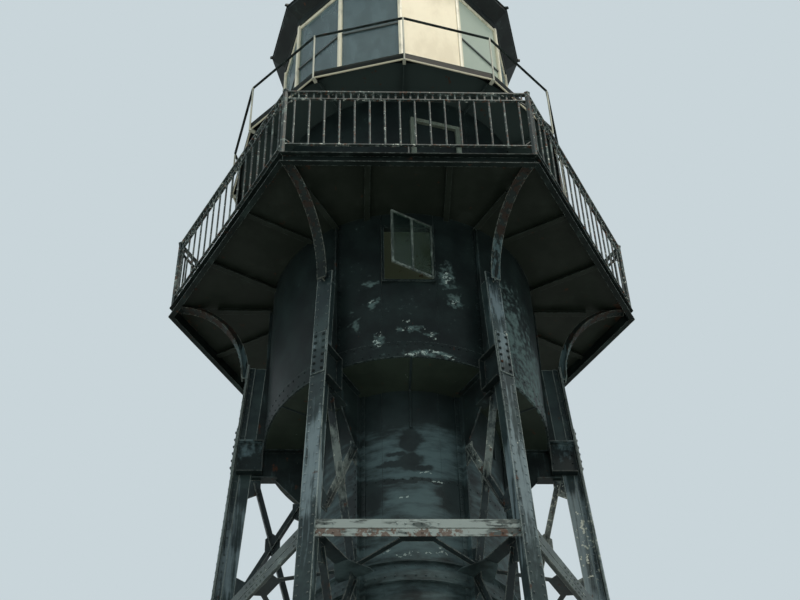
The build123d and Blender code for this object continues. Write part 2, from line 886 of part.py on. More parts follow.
# Lantern gallery
def make_lantern_deck():
    low = lantern_level - upper_edge_height
    whole = Pos(0, 0, low) * extrude(RegularPolygon(upper_gallery_radius, lantern_sides), upper_edge_height)
    hollow_radius = upper_gallery_radius - upper_edge_wall / math.cos(half_pane)
    hollow = Pos(0, 0, low - overlap) * extrude(RegularPolygon(hollow_radius, lantern_sides),
                                                upper_edge_height - upper_plate + overlap)
    shape = whole - hollow
    rib_low = low + upper_rib_rise
    rib_end = upper_gallery_radius - upper_edge_wall - upper_rib_gap
    rib = block(upper_rib_wall, drum_radius + seat, rib_end, rib_low, lantern_level - upper_plate + overlap)
    return shape + around(rib, corner_azimuths)


def make_upper_post():
    """A lantern gallery post on the deck's edge, with its foot turned under the edge."""
    low = lantern_level - upper_edge_height
    centre = upper_gallery_radius + upper_post_half + seat
    post = Pos(0, -centre, low - upper_foot_drop) * extrude(
        RegularPolygon(upper_post_half, upper_post_sides),
        upper_foot_drop + upper_edge_height + upper_rail_height)
    foot = block(upper_foot_width, upper_gallery_radius - upper_foot_reach, centre,
                 low - upper_foot_drop, low - seat)
    return post + foot


def make_upper_rail():
    """One straight length of the lantern gallery's handrail, between two posts."""
    centre = upper_gallery_radius + upper_post_half + seat
    apothem = centre * math.cos(half_pane)
    half = centre * math.sin(half_pane) - upper_post_half - seat
    section = Plane.YZ.offset(-half) * Pos(-apothem, lantern_level + upper_rail_height - upper_rail_radius)
    return extrude(section * RegularPolygon(upper_rail_radius, bar_sides), 2 * half)


# Lantern
def make_base_panel():
    out = lantern_apothem
    back = out - lantern_base_wall
    gap = plate_gap / 2
    points = [(out * math.tan(half_pane) - gap, -out), (-out * math.tan(half_pane) + gap, -out),
              (-back * math.tan(half_pane) + gap, -back), (back * math.tan(half_pane) - gap, -back)]
    return flat_plate(points, lantern_level, lantern_base_height)


def make_lantern_frame():
    """The frame of one pane of the lantern, mitred to its neighbours."""
    out = lantern_apothem
    back = out - lantern_frame_depth
    gap = plate_gap / 2
    points = [(out * math.tan(half_pane) - gap, -out), (-out * math.tan(half_pane) + gap, -out),
              (-back * math.tan(half_pane) + gap, -back), (back * math.tan(half_pane) - gap, -back)]
    frame = flat_plate(points, lantern_sill, lantern_top - lantern_sill)
    for low, high in pane_levels():
        frame -= block(pane_width(), back - cutter_margin, out + cutter_margin, low, high)
    return frame


def pane_levels():
    """Bottom and top of the lower and the upper light of a pane, either side of the transom."""
    half = transom_width / 2
    return [(lantern_sill + lantern_frame_rail, transom_level - half),
            (transom_level + half, lantern_top - lantern_frame_rail)]


def pane_width():
    back = lantern_apothem - lantern_frame_depth
    return 2 * (back * math.tan(half_pane) - lantern_frame_stile + lantern_frame_depth * math.tan(half_pane))


def make_panes():
    middle = lantern_apothem - lantern_frame_depth / 2
    width = pane_width() - 2 * seat
    half = glass_thickness / 2
    return [block(width, middle - half, middle + half, low + seat, high - seat)
            for low, high in pane_levels()]


def make_corner_bar():
    """The cover bar on a corner of the lantern, shaped to both faces."""
    half = lantern_bar_half
    slope = half * math.tan(half_pane)
    tip = lantern_radius + seat
    points = [(-half, -tip + slope), (0, -tip), (half, -tip + slope),
              (half, -tip - lantern_bar_depth + slope), (0, -tip - lantern_bar_depth),
              (-half, -tip - lantern_bar_depth + slope)]
    return flat_plate(points, lantern_level, lantern_top - lantern_level)


# Roof
def polygon_frustum(low_radius, low, high_radius, high):
    bottom = Plane.XY.offset(low) * RegularPolygon(low_radius, lantern_sides)
    top = Plane.XY.offset(high) * RegularPolygon(high_radius, lantern_sides)
    return loft([bottom, top], ruled=True)


def make_eave():
    """Ceiling plate, frieze, sloping cove and gutter edge, as one open tray."""
    frieze = lantern_radius + lantern_bar_depth
    levels = [lantern_top + seat, lantern_top + frieze_height, lantern_top + frieze_height + cove_height,
              lantern_top + frieze_height + cove_height + gutter_height]
    radii = [frieze, frieze, eave_radius, eave_radius]
    shape = polygon_frustum(radii[0], levels[0], radii[1], levels[1])
    shape += polygon_frustum(radii[1], levels[1], radii[2], levels[2])
    shape += polygon_frustum(radii[2], levels[2], radii[3], levels[3])
    wall = eave_wall / math.cos(half_pane)
    insides = [radius - wall for radius in radii]
    floors = [levels[0] + eave_wall, levels[1] + eave_wall / 2, levels[2] + eave_wall / 2,
              levels[3] + overlap]
    shape -= polygon_frustum(insides[0], floors[0], insides[1], floors[1])
    shape -= polygon_frustum(insides[1], floors[1], insides[2], floors[2])
    shape -= polygon_frustum(insides[2], floors[2], insides[3], floors[3])
    return shape


def roof_foot():
    return lantern_top + frieze_height + cove_height + gutter_height + seat


def make_roof():
    """A twelve-sided roof shell with a standing rib on each hip."""
    low = roof_foot()
    high = low + roof_rise
    radius = eave_radius + roof_overlap
    drop = roof_wall * math.hypot(roof_rise, radius - roof_top_radius) / (radius - roof_top_radius)
    shape = polygon_frustum(radius, low, roof_top_radius, high)
    slope = roof_rise / (radius - roof_top_radius)
    inner_radius = radius - drop / slope
    inner_top = roof_top_radius - drop / slope
    shape -= polygon_frustum(inner_radius, low - open_foot, inner_top, high)
    hip = [(radius - hip_sink, low), (radius + hip_reach, low), (radius + hip_reach, low + hip_height),
           (roof_top_radius, high + hip_height), (roof_top_radius - hip_sink, high)]
    rib = radial_plate(hip, hip_width)
    return shape + around(rib, corner_azimuths)


def make_ventilator():
    """Neck, drip ring, ball and spike, turned about the tower's axis."""
    low = roof_foot() + roof_rise + hip_height + seat
    neck_top = low + neck_height
    ball_centre = neck_top + ball_radius * ball_seat
    start = math.sqrt(ball_radius ** 2 - (ball_centre - neck_top) ** 2)
    tip = ball_centre + ball_radius + spike_height
    collar = ball_centre + math.sqrt(ball_radius ** 2 - spike_collar_radius ** 2)
    bulge = (ball_radius, ball_centre)
    flange = roof_top_radius + neck_flange_margin
    ring = neck_radius + drip_ring_reach
    ring_low = neck_top - drip_ring_drop
    flange_top = low + neck_flange_height
    neck = [(0, low), (flange, low), (flange, flange_top), (neck_radius, flange_top),
            (neck_radius, ring_low), (ring, ring_low), (ring, ring_low + drip_ring_height), (start, neck_top)]
    cap = [(spike_collar_radius, collar), (spike_collar_radius, collar + spike_collar_height),
           (spike_radius, collar + spike_collar_height), (spike_radius, tip - spike_collar_height),
           (0, tip), (0, low)]
    lower = Polyline(*neck)
    ball = ThreePointArc(neck[-1], bulge, cap[0])
    upper = Polyline(*cap)
    return revolve(radial_plane * make_face([lower, ball, upper]), Axis.Z, 360)


# Every node and its solids
def build_nodes():
    nodes = {}
    nodes["base_shoes"] = around(make_shoe(), leg_azimuths)
    leg = make_leg()
    for k, azimuth in enumerate(leg_azimuths):
        nodes[f"leg_{k + 1}"] = around(leg, [azimuth])
    nodes["leg_splices"] = [piece for centre in splice_levels
                            for piece in around(make_splice(centre), leg_azimuths)]
    nodes["side_struts"] = [piece for level in ring_levels for angle in side_strut(level)
                            for piece in around(angle, side_azimuths)]
    nodes["radial_struts"] = [piece for level in ring_levels
                              for piece in around(radial_strut(level), leg_azimuths)]
    nodes["plan_bracing"] = [piece for level in ring_levels
                             for piece in around(plan_brace(level), side_azimuths)]
    panels = brace_panels()
    for k, azimuth in enumerate(leg_azimuths):
        nodes[f"radial_bracing_{k + 1}"] = [Rot(0, 0, azimuth) * panel for panel in panels]
    nodes["column_plates"] = make_column_plates()
    nodes["column_ribs"] = around(make_rib(), leg_azimuths)
    nodes["column_hubs"] = ([piece for level in ring_levels
                             for piece in around(make_hub_band(level), side_azimuths)]
                            + [piece for level in ring_levels
                               for piece in around(make_hub_gusset(level), leg_azimuths)]
                            + [piece for band in make_foot_band() for piece in around(band, side_azimuths)])
    nodes["column_door_frame"] = [make_column_door_frame()]
    nodes["column_door"] = [make_column_door()]
    nodes["radial_beams"] = around(radial_beam(), leg_azimuths)
    nodes["box_brackets"] = [piece for sign in (-1, 1) for piece in around(box_bracket(sign), leg_azimuths)]
    nodes["drum_posts"] = around(drum_post(), leg_azimuths)
    nodes["drum_wall"] = make_drum_wall()
    nodes["drum_curb"] = around(make_drum_curb(), side_azimuths)
    nodes["drum_lining"] = make_lining()
    nodes["drum_floors"] = [make_floor(drum_foot + floor_thickness), make_floor(deck_level)]
    nodes["window_frame"] = [make_window_frame()]
    nodes["window_sash"] = [make_sash()]
    nodes["window_glass"] = make_sash_glass()
    nodes["gallery_door_frame"] = [make_gallery_door_frame()]
    nodes["gallery_door"] = [make_gallery_door()]
    nodes["main_deck"] = around(make_deck_sector(), side_azimuths)
    nodes["deck_fascia"] = around(make_fascia(), side_azimuths)
    nodes["deck_joists"] = ([piece for place in (-joist_place, joist_place)
                             for piece in around(make_joist(place), side_azimuths)]
                            + around(make_corner_beam(), leg_azimuths))
    nodes["gallery_brackets"] = around(make_gallery_bracket(), leg_azimuths)
    panel = make_rail_panel()
    for k, azimuth in enumerate(side_azimuths):
        nodes[f"gallery_rail_{k + 1}"] = around(panel, [azimuth])
    nodes["gallery_posts"] = around(make_gallery_post(), leg_azimuths)
    nodes["lantern_deck"] = [make_lantern_deck()]
    nodes["lantern_rail"] = around(make_upper_rail(), pane_azimuths)
    nodes["lantern_posts"] = around(make_upper_post(), corner_azimuths)
    nodes["lantern_base"] = around(make_base_panel(), pane_azimuths)
    nodes["lantern_frames"] = around(make_lantern_frame(), pane_azimuths)
    nodes["lantern_bars"] = around(make_corner_bar(), corner_azimuths)
    nodes["lantern_glass"] = [piece for pane in make_panes() for piece in around(pane, pane_azimuths)]
    nodes["lantern_eave"] = [make_eave()]
    nodes["lantern_roof"] = [make_roof()]
    nodes["ventilator"] = [make_ventilator()]
    return nodes


os.makedirs("parts", exist_ok=True)
for name, solids in build_nodes().items():
    pieces = [solid for shape in solids for solid in shape.solids()]
    export_step(Compound(children=pieces) if len(pieces) > 1 else pieces[0], f"parts/{name}.step")
    print(name, len(pieces))
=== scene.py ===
import math

import bmesh
import bpy
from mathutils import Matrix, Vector


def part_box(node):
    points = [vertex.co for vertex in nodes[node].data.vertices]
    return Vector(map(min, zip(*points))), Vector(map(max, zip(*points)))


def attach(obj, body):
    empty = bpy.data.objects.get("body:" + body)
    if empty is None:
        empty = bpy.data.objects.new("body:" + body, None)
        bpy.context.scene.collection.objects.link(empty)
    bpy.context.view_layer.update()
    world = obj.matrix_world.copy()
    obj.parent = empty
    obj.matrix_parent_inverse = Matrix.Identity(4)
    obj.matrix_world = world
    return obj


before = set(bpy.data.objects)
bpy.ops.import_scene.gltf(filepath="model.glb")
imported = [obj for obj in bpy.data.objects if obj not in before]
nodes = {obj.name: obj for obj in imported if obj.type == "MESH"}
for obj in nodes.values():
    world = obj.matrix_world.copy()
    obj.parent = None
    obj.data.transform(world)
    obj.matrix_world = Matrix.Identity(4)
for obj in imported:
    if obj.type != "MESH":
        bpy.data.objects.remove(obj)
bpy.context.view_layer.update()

# An iron skeleton lighthouse: the frame brings its iron, this script brings paint, rust, rivets and light.
# Metres throughout. Azimuth 0 is the front (-Y), turning towards +X.

print("frame loaded:", len(nodes), "nodes")

# The place and turn of the camera that took in the tower from the ground
camera = {
    "place": (-0.568, -11.658, 0.343),
    "turn": (134.853, 1.094, -1.568),  # degrees about X, Y and Z
    "lens": 63.486,
    "sensor": 36.0,
    "farthest": 500,
}

# Studio: a pale floor, a pale backdrop and soft lamps; the key lamp is high, so the gallery shades the drum
studio = {
    "floorHex": "d9dcdc",
    "floorRoughness": 0.85,
    "floorSize": 160.0,
    "backdropHex": "c9d5da",
    "skyLight": 0.75,
    "keyTurn": (23.0, 0.0, 40.0),
    "keyStrength": 2.2,
    "keyAngle": 14.0,
    "keyHex": "fff6e8",
    "fillTurn": (70.0, 0.0, -52.0),
    "fillStrength": 0.2,
    "fillAngle": 50.0,
    "fillHex": "dceaf2",
    "roomPlace": (0.35, 0.55, 10.6),  # a faint lamp inside the watch room, so that its lining shows
    "roomStrength": 8.0,
    "roomSize": 0.25,
    "roomHex": "eef0dc",
}


def hexToLinear(text):
    channels = [int(text[i:i + 2], 16) / 255 for i in (0, 2, 4)]
    linear = [c / 12.92 if c <= 0.04045 else ((c + 0.055) / 1.055) ** 2.4 for c in channels]
    return (*linear, 1.0)


def addNode(tree, kind, inputs=(), settings=None):
    # One node: a short kind is a shader node's, and one in capitals, or a word for the settings, is what it
    # works out. The inputs go by order or name, each a value, a socket, or a node with its first output.
    if kind.isupper():
        kind, settings = "Math", kind
    node = tree.nodes.new(kind if "Node" in kind else "ShaderNode" + kind)
    if isinstance(settings, str):
        settings = {"operation": settings}
    for name, value in (settings or {}).items():
        setattr(node, name, value)
    for key, value in inputs.items() if isinstance(inputs, dict) else enumerate(inputs):
        if isinstance(value, bpy.types.Node):
            tree.links.new(value.outputs[0], node.inputs[key])
        elif isinstance(value, bpy.types.NodeSocket):
            tree.links.new(value, node.inputs[key])
        else:
            node.inputs[key].default_value = value
    return node


def newMaterial(name):
    # a material, its tree and the place of each point, by which the patterns lie
    material = bpy.data.materials.new(name)
    material.use_nodes = True
    tree = material.node_tree
    tree.nodes.clear()
    return material, tree, addNode(tree, "TexCoord").outputs["Object"]


def finishSurface(material, inputs):
    shader = addNode(material.node_tree, "BsdfPrincipled", inputs)
    addNode(material.node_tree, "OutputMaterial", {"Surface": shader})
    return material


def addObject(name, data):
    thing = bpy.data.objects.new(name, data)
    bpy.context.scene.collection.objects.link(thing)
    return thing


def outward(azimuth):
    turn = math.radians(azimuth)
    return Vector((math.sin(turn), -math.cos(turn), 0))


def sideways(azimuth):
    turn = math.radians(azimuth)
    return Vector((math.cos(turn), math.sin(turn), 0))


def spot(azimuth, radius, level, aside=0.0):
    return outward(azimuth) * radius + sideways(azimuth) * aside + Vector((0, 0, level))


def levels(name):
    return [corner.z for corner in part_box(name)]


def points(name):
    return [v.co for v in nodes[name].data.vertices]


def reach(name, direction, low=-1.0, high=100.0):
    # how far a node's points reach along a direction, between two levels
    return max(p.dot(direction) for p in points(name) if low <= p.z <= high)


# What the pieces below measure themselves against, read from the frame
sideCount = 6
paneCount = 12
ringCount = 4
halfSide = 180 / sideCount  # where the first leg stands
halfPane = 180 / paneCount  # and the middle of the first pane
sideAzimuths = [2 * halfSide * k for k in range(sideCount)]
legAzimuths = [azimuth + halfSide for azimuth in sideAzimuths]
cornerAzimuths = [2 * halfPane * k for k in range(paneCount)]
paneAzimuths = [azimuth + halfPane for azimuth in cornerAzimuths]
deckLevel = levels("main_deck")[1]
drumFoot, drumTop = levels("drum_wall")
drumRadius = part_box("drum_wall")[1].x
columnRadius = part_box("column_plates")[1].x
legHead = (1.3, 0.9)  # its drops under the gallery deck
legRadius = reach("leg_1", outward(halfSide), *[deckLevel - drop for drop in legHead])
gusset = 0.010    # thickness of the level gusset plates
strutLeg = 0.090  # height of each of a side strut's two angles
ringLevels = [(levels("side_struts")[1] - strutLeg - gusset / 2) * (ringCount - k) / ringCount
              for k in range(ringCount)]


def placeCamera():
    data = bpy.data.cameras.new("camera")
    data.lens = camera["lens"]
    data.sensor_width = camera["sensor"]
    data.clip_end = camera["farthest"]
    thing = addObject("camera", data)
    thing.location = camera["place"]
    thing.rotation_euler = [math.radians(a) for a in camera["turn"]]
    bpy.context.scene.camera = thing


def placeLamp(name, kind):
    data = bpy.data.lights.new(name + "Lamp", kind)
    data.energy = studio[name + "Strength"]
    data.color = hexToLinear(studio[name + "Hex"])[:3]
    lamp = addObject(name + "Lamp", data)
    if kind == "SUN":
        data.angle = math.radians(studio[name + "Angle"])
        lamp.rotation_euler = [math.radians(a) for a in studio[name + "Turn"]]
    else:
        data.shadow_soft_size = studio[name + "Size"]
        lamp.location = studio[name + "Place"]


def makeFloor():
    mesh = bpy.data.meshes.new("studioFloor")
    half = studio["floorSize"] / 2
    corners = [(-half, -half, 0), (half, -half, 0), (half, half, 0), (-half, half, 0)]
    mesh.from_pydata(corners, [], [(0, 1, 2, 3)])
    paint = {"Base Color": hexToLinear(studio["floorHex"]), "Roughness": studio["floorRoughness"]}
    mesh.materials.append(finishSurface(newMaterial("matteStudioPaint")[0], paint))
    addObject("studioFloor", mesh)


def makeBackdrop():
    # the world lights the tower softly, and shows at full strength to the eye and in glass and metal
    world = bpy.data.worlds.new("paleBackdrop")
    world.use_nodes = True
    bpy.context.scene.world = world
    tree = world.node_tree
    tree.nodes.clear()
    path = addNode(tree, "LightPath").outputs
    seen = addNode(tree, "MAXIMUM", [path["Is Camera Ray"], path["Is Transmission Ray"]])
    seen = addNode(tree, "MAXIMUM", [seen, path["Is Glossy Ray"]])
    pale = hexToLinear(studio["backdropHex"])
    light = addNode(tree, "Background", {"Color": pale, "Strength": studio["skyLight"]})
    shown = addNode(tree, "Background", {"Color": pale, "Strength": 1.0})
    mixed = addNode(tree, "MixShader", [seen, light, shown])
    addNode(tree, "OutputWorld", {"Surface": mixed})


placeCamera()
makeFloor()
makeBackdrop()
placeLamp("key", "SUN")
placeLamp("fill", "SUN")
placeLamp("room", "POINT")
bpy.context.scene.view_settings.view_transform = "Standard"
print("studio ready")

# Linseed oil paint, black, brushed by hand on riveted wrought iron. Weather has chalked it to a pale
# film along the brush strokes, it has flaked down to the older grey coats, and it rusts from the edges.
# Film, flecks, rust and edges each start at a Level of their noise and are full a Soft step above it.
oldOilPaint = {
    "mottleSize": 0.35,
    "mottleTone": (0.38, 0.64),  # stretch of the mottle from the coat to its worn colour
    "mottleWear": (0.3, 0.7, 0.08),  # and its stretch of less and more weathering, and how much that is
    "filmGrain": (0.35, 0.35, 0.05),  # length of the scuffs along X, Y and Z
    "filmLevel": 0.56,
    "filmSoft": 0.14,
    "filmStrength": 0.55,
    "fleckHex": "a3b1aa",
    "fleckSize": 0.05,
    "fleckLevel": 0.72,
    "fleckSoft": 0.025,
    "fleckStrength": 0.9,
    "fleckWear": 0.5,  # share of the weathering that flakes
    "rustHex": "452d20",
    "rustSize": 0.12,
    "rustLevel": 0.86,
    "rustSoft": 0.08,
    "rustStrength": 0.8,
    "runLength": 0.6,  # rust runs down this far
    "runWidth": 0.4,  # share of the rust's size
    "runShare": 0.45,
    "edgeHex": "7c8c88",
    "edgeWidth": 0.009,
    "edgeTurn": (0.99, 0.86),  # cosines between which a rounded edge counts
    "edgeLevel": 0.42,
    "edgeSoft": 0.12,
    "edgeStrength": 0.6,
    "filmSpots": [],  # (azimuth, radius, level, size, tallness) of pale scuffed places,
    "fleckSpots": [],  # of flaked ones
    "bareSpots": [],  # and of those that kept their black coat
    "filmPull": 0.3,
    "fleckPull": 0.26,
    "barePull": 0.35,
    "spotRagged": 0.16,
    "stripeTop": None,  # below this level the piece has a pale stripe
    "stripeHex": "b9b49c",
    "stripeStrength": 0.85,
    "smooth": 0.46,
    "rough": 0.78,
    "brushGrain": (0.25, 0.25, 0.006),
    "brushDepth": 0.0012,
    "flakeDepth": 0.0016,
    "rustDepth": 0.00096,
    "bumpStrength": 0.8,
    "specular": 0.3,
}
softStep = {"interpolation_type": "SMOOTHSTEP"}


def cloud(tree, coords, grain, shift, detail=5.0, roughness=0.62):
    # a cloudy pattern whose clumps measure about grain along each axis; the shift keeps two patterns apart
    inputs = {"Vector": coords, "Location": (shift, shift * 0.7, -shift), "Scale": [1 / g for g in grain]}
    inputs = {"Vector": addNode(tree, "Mapping", inputs), "Scale": 1.0}
    return addNode(tree, "TexNoise", {**inputs, "Detail": detail, "Roughness": roughness})


def layered(tree, colour, layers):
    # lays coats over a colour, each a share and a hex colour
    for share, coatHex in layers:
        coats = {0: share, 6: colour, 7: hexToLinear(coatHex)}
        colour = addNode(tree, "Mix", coats, {"data_type": "RGBA"}).outputs[2]
    return colour


def spotMask(tree, coords, spots, pull, core=0.2):
    # pull in the core of a spot, falling to 0 at its size
    mask = None
    for azimuth, radius, level, size, tall in spots:
        away = addNode(tree, "VectorMath", [coords, spot(azimuth, radius, level)], "SUBTRACT")
        away = addNode(tree, "VectorMath", [away, (1.0, 1.0, 1.0 / tall)], "MULTIPLY")
        away = addNode(tree, "VectorMath", [away], "LENGTH").outputs[1]
        near = addNode(tree, "MapRange", [away, size, size * core, 0.0, pull], softStep)
        mask = near if mask is None else addNode(tree, "MAXIMUM", [mask, near])
    return mask


def oilPaint(name, coatHex, wornHex, filmHex, rustMask=None, filmMask=None, **changes):
    # one coat of old black paint with its own changes; the masks add rust or film by place
    look = {**oldOilPaint, **changes, "filmHex": filmHex}
    material, tree, coords = newMaterial(name)
    runWidth = look["rustSize"] * look["runWidth"]
    mottle = cloud(tree, coords, [look["mottleSize"]] * 3, 3.1)
    strokes = cloud(tree, coords, look["filmGrain"], 11.7, 7.0)
    flecks = cloud(tree, coords, [look["fleckSize"]] * 3, 23.3, 6.0)
    clumps = cloud(tree, coords, [look["rustSize"]] * 3, 31.9, 6.0)
    runs = cloud(tree, coords, [runWidth, runWidth, look["runLength"]], 43.3, 4.0)
    brush = cloud(tree, coords, look["brushGrain"], 5.3, 3.0)

    # the coordinates of the spots wander, which gives them ragged outlines
    size = [look["spotRagged"]] * 3
    ragged = addNode(tree, "TexNoise", {"Vector": coords, "Scale": 1 / size[0], "Detail": 3.0}).outputs[1]
    ragged = addNode(tree, "VectorMath", [ragged, size, coords], "MULTIPLY_ADD")
    ragged = addNode(tree, "VectorMath", [ragged, [s / 2 for s in size]], "SUBTRACT")

    # how much each place has weathered
    low, high, swing = look["mottleWear"]
    wear = addNode(tree, "MapRange", [mottle, low, high, -swing, swing])
    amount = {"film": addNode(tree, "ADD", [strokes, wear]), "edge": flecks,
              "fleck": addNode(tree, "MULTIPLY_ADD", [wear, look["fleckWear"], flecks]),
              "rust": addNode(tree, "MULTIPLY_ADD", [runs, look["runShare"], clumps])}
    for spots, kind, action in (("film", "film", "ADD"), ("bare", "film", "SUBTRACT"),
                                ("fleck", "fleck", "ADD")):
        if look[spots + "Spots"]:
            pull = spotMask(tree, ragged, look[spots + "Spots"], look[spots + "Pull"])
            amount[kind] = addNode(tree, action, [amount[kind], pull])
    for kind, mask in (("film", filmMask), ("rust", rustMask)):
        if mask:
            amount[kind] = addNode(tree, "ADD", [amount[kind], mask(tree, coords)])
    share = {}
    for kind in amount:
        level, soft, most = [look[kind + word] for word in ("Level", "Soft", "Strength")]
        share[kind] = addNode(tree, "MapRange", [amount[kind], level, level + soft, 0.0, most], softStep)

    # bare and chalked edges, which on the legs and brackets are partly painted highlights: where a small
    # bevel would turn the surface
    normal = addNode(tree, "NewGeometry").outputs["Normal"]
    bevel = addNode(tree, "Bevel", {"Radius": look["edgeWidth"]}, {"samples": 4})
    turned = addNode(tree, "VectorMath", [bevel, normal], "DOT_PRODUCT").outputs[1]
    edge = addNode(tree, "MapRange", [turned, *look["edgeTurn"]], softStep)
    share["edge"] = addNode(tree, "MULTIPLY", [edge, share["edge"]])

    tone = addNode(tree, "MapRange", [mottle, *look["mottleTone"]], softStep)
    layers = [(share[kind], look[kind + "Hex"]) for kind in ("film", "edge", "fleck", "rust")]
    colour = layered(tree, hexToLinear(coatHex), [(tone, wornHex)] + layers)
    if look["stripeTop"]:
        level = addNode(tree, "SeparateXYZ", [coords]).outputs[2]
        stripe = addNode(tree, "LESS_THAN", [level, look["stripeTop"]])
        stripe = addNode(tree, "MULTIPLY", [stripe, look["stripeStrength"]])
        colour = layered(tree, colour, [(stripe, look["stripeHex"])])

    dull = addNode(tree, "MAXIMUM", [share["film"], share["rust"]])
    dull = addNode(tree, "MAXIMUM", [dull, share["fleck"]])
    roughness = addNode(tree, "MapRange", [dull, 0.0, 1.0, look["smooth"], look["rough"]])
    depth = look["brushDepth"]
    height = addNode(tree, "MULTIPLY_ADD", [share["fleck"], -look["flakeDepth"] / depth, brush])
    height = addNode(tree, "MULTIPLY_ADD", [share["rust"], look["rustDepth"] / depth, height])
    bump = addNode(tree, "Bump", {"Height": height, "Distance": depth, "Strength": look["bumpStrength"]})
    return finishSurface(material, {"Base Color": colour, "Roughness": roughness, "Normal": bump,
                                    "Specular IOR Level": look["specular"]})


def levelMask(startDrop, endDrop, below, above, step=softStep):
    # a mask that turns from one amount to another between two drops under the gallery deck
    def mask(tree, coords):
        height = addNode(tree, "SeparateXYZ", [coords]).outputs[2]
        limits = [deckLevel - startDrop, deckLevel - endDrop, below, above]
        return addNode(tree, "MapRange", [height, *limits], step)
    return mask


def rimMask(deck, halfAngle, start, end, inside, outside, step=softStep):
    # a mask that turns from one amount to another at a deck's rim; start and end lie outside its flat edges
    def mask(tree, coords):
        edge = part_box(deck)[1].x * math.cos(math.radians(halfAngle))
        level = addNode(tree, "VectorMath", [coords, (1.0, 1.0, 0.0)], "MULTIPLY")
        away = addNode(tree, "VectorMath", [level], "LENGTH").outputs[1]
        return addNode(tree, "MapRange", [away, edge + start, edge + end, inside, outside], step)
    return mask


def frontMask(front, rest, lowerOnly=False, fade=0.02, split=0.01):
    # A mask with one amount at the front side of the tower, between its two legs, and another elsewhere.
    # The front amount can be kept to the lower angle of each strut, which hangs below its ring's gussets.
    def mask(tree, coords):
        place = addNode(tree, "SeparateXYZ", [coords]).outputs
        ahead = addNode(tree, "MULTIPLY", [place[1], -1.0])
        turn = addNode(tree, "ARCTAN2", [place[0], ahead])
        turn = addNode(tree, "ABSOLUTE", [turn])
        half = math.radians(halfSide)
        share = addNode(tree, "MapRange", [turn, half, half + fade, 1.0, 0.0])
        amount = front
        if lowerOnly:
            half = ringLevels[-1] / 2
            above = addNode(tree, "MODULO", [place[2], 2 * half])
            amount = addNode(tree, "MapRange", [above, half, half + split, 0.0, front])
        return addNode(tree, "MULTIPLY_ADD", [share, amount, rest])
    return mask


def spotsOn(radius, rows):
    # worn places of one kind; each row is an azimuth, a drop under the gallery deck, a size and a tallness,
    # and may end with how much further out it lies
    return [(azimuth, radius + sum(out), deckLevel - drop, size, tall)
            for azimuth, drop, size, tall, *out in rows]


# The drum: scuffed bluish where ropes and feet have rubbed it, flaked along its bottom edge
drumHexes = ("141b1b", "1c2625", "6b827f")
drumCoat = dict(
    filmLevel=0.63, filmSoft=0.24, filmGrain=(0.06, 0.06, 0.06), filmPull=0.26, fleckLevel=0.8,
    fleckSize=0.035, fleckPull=0.27, barePull=0.15, spotRagged=0.1, rustLevel=0.94, specular=0.12,
    filmSpots=spotsOn(drumRadius, (
        (-14.8, 1.33, 0.13, 1.2), (-12.6, 1.87, 0.11, 1.6), (1, 1.73, 0.3, 0.3), (8, 1.80, 0.14, 0.8),
        (8, 2.07, 0.4, 0.22), (15.5, 0.90, 0.17, 1.8), (18, 1.30, 0.14, 1.2), (-16, 1.05, 0.12, 0.9),
        (48, 1.25, 0.6, 1.6), (55, 1.55, 0.8, 1.3), (56, 2, 0.7, 1), (-22, 1.6, 0.1, 2))),
    bareSpots=spotsOn(drumRadius, ((-44, 2, 0.6, 0.9),)),
    fleckSpots=spotsOn(drumRadius, (
        (-14.8, 1.33, 0.08, 1.2), (-12.6, 1.87, 0.12, 1.8), (-4, 1.73, 0.14, 0.4), (1, 1.73, 0.12, 0.4),
        (5.7, 1.73, 0.14, 0.4), (8.3, 1.83, 0.12, 1), (-1.2, 1.62, 0.07, 1), (0, 2.09, 0.18, 0.3),
        (6, 2.06, 0.2, 0.4), (11, 2.06, 0.18, 0.4), (15, 2.09, 0.16, 0.3), (16, 0.95, 0.12, 1.4),
        (18.5, 1.30, 0.09, 1))))
drumPaint = oilPaint("weatheredBlackOilPaint", *drumHexes, edgeStrength=0.1, **drumCoat)
curbPaint = oilPaint("edgeChippedBlackOilPaint", *drumHexes, **drumCoat)

# The column: brushed thin, and painted darker at its head under the watch room, which is painted shade
columnPaint = oilPaint("brushScuffedBlackOilPaint", "192121", "222d2d", "5c7173",
    filmGrain=(0.3, 0.3, 0.08), filmLevel=0.48, filmSoft=0.5, filmStrength=0.7, fleckLevel=0.8,
    rustLevel=0.94, fleckSize=0.03, edgeStrength=0.12, specular=0.2, filmPull=0.22, fleckPull=0.27,
    barePull=0.6, spotRagged=0.12,
    filmSpots=spotsOn(columnRadius, (
        (13, 2.85, 0.5, 1.1), (-14, 2.9, 0.35, 0.8), (0, 3.17, 0.6, 0.12), (0, 3.5, 0.5, 0.5),
        (10, 3.9, 0.5, 0.6), (-14, 4, 0.4, 0.3), (0, 4.05, 0.6, 0.16))),
    bareSpots=spotsOn(columnRadius, (
        (0, 2.78, 0.15, 1.3), (-1, 3, 0.17, 1), (-9, 2.92, 0.16, 0.3), (-10, 3.04, 0.22, 0.22),
        (7, 3.08, 0.14, 0.4), (24, 3.4, 0.25, 1), (-26, 3.4, 0.25, 1), (0, 3.25, 0.6, 0.05))),
    fleckSpots=spotsOn(columnRadius, (
        (-18, 4.04, 0.16, 0.5), (14, 4.04, 0.16, 0.5), (-2, 4.08, 0.36, 0.14), (8, 3.15, 0.2, 0.1),
        (-4, 3.45, 0.12, 0.2), (14, 3.24, 0.16, 0.16))),
    # painted shade: the pale film fades out up the column's head, under the drum
    filmMask=levelMask(2.8, 2.2, 0.16, -0.4))
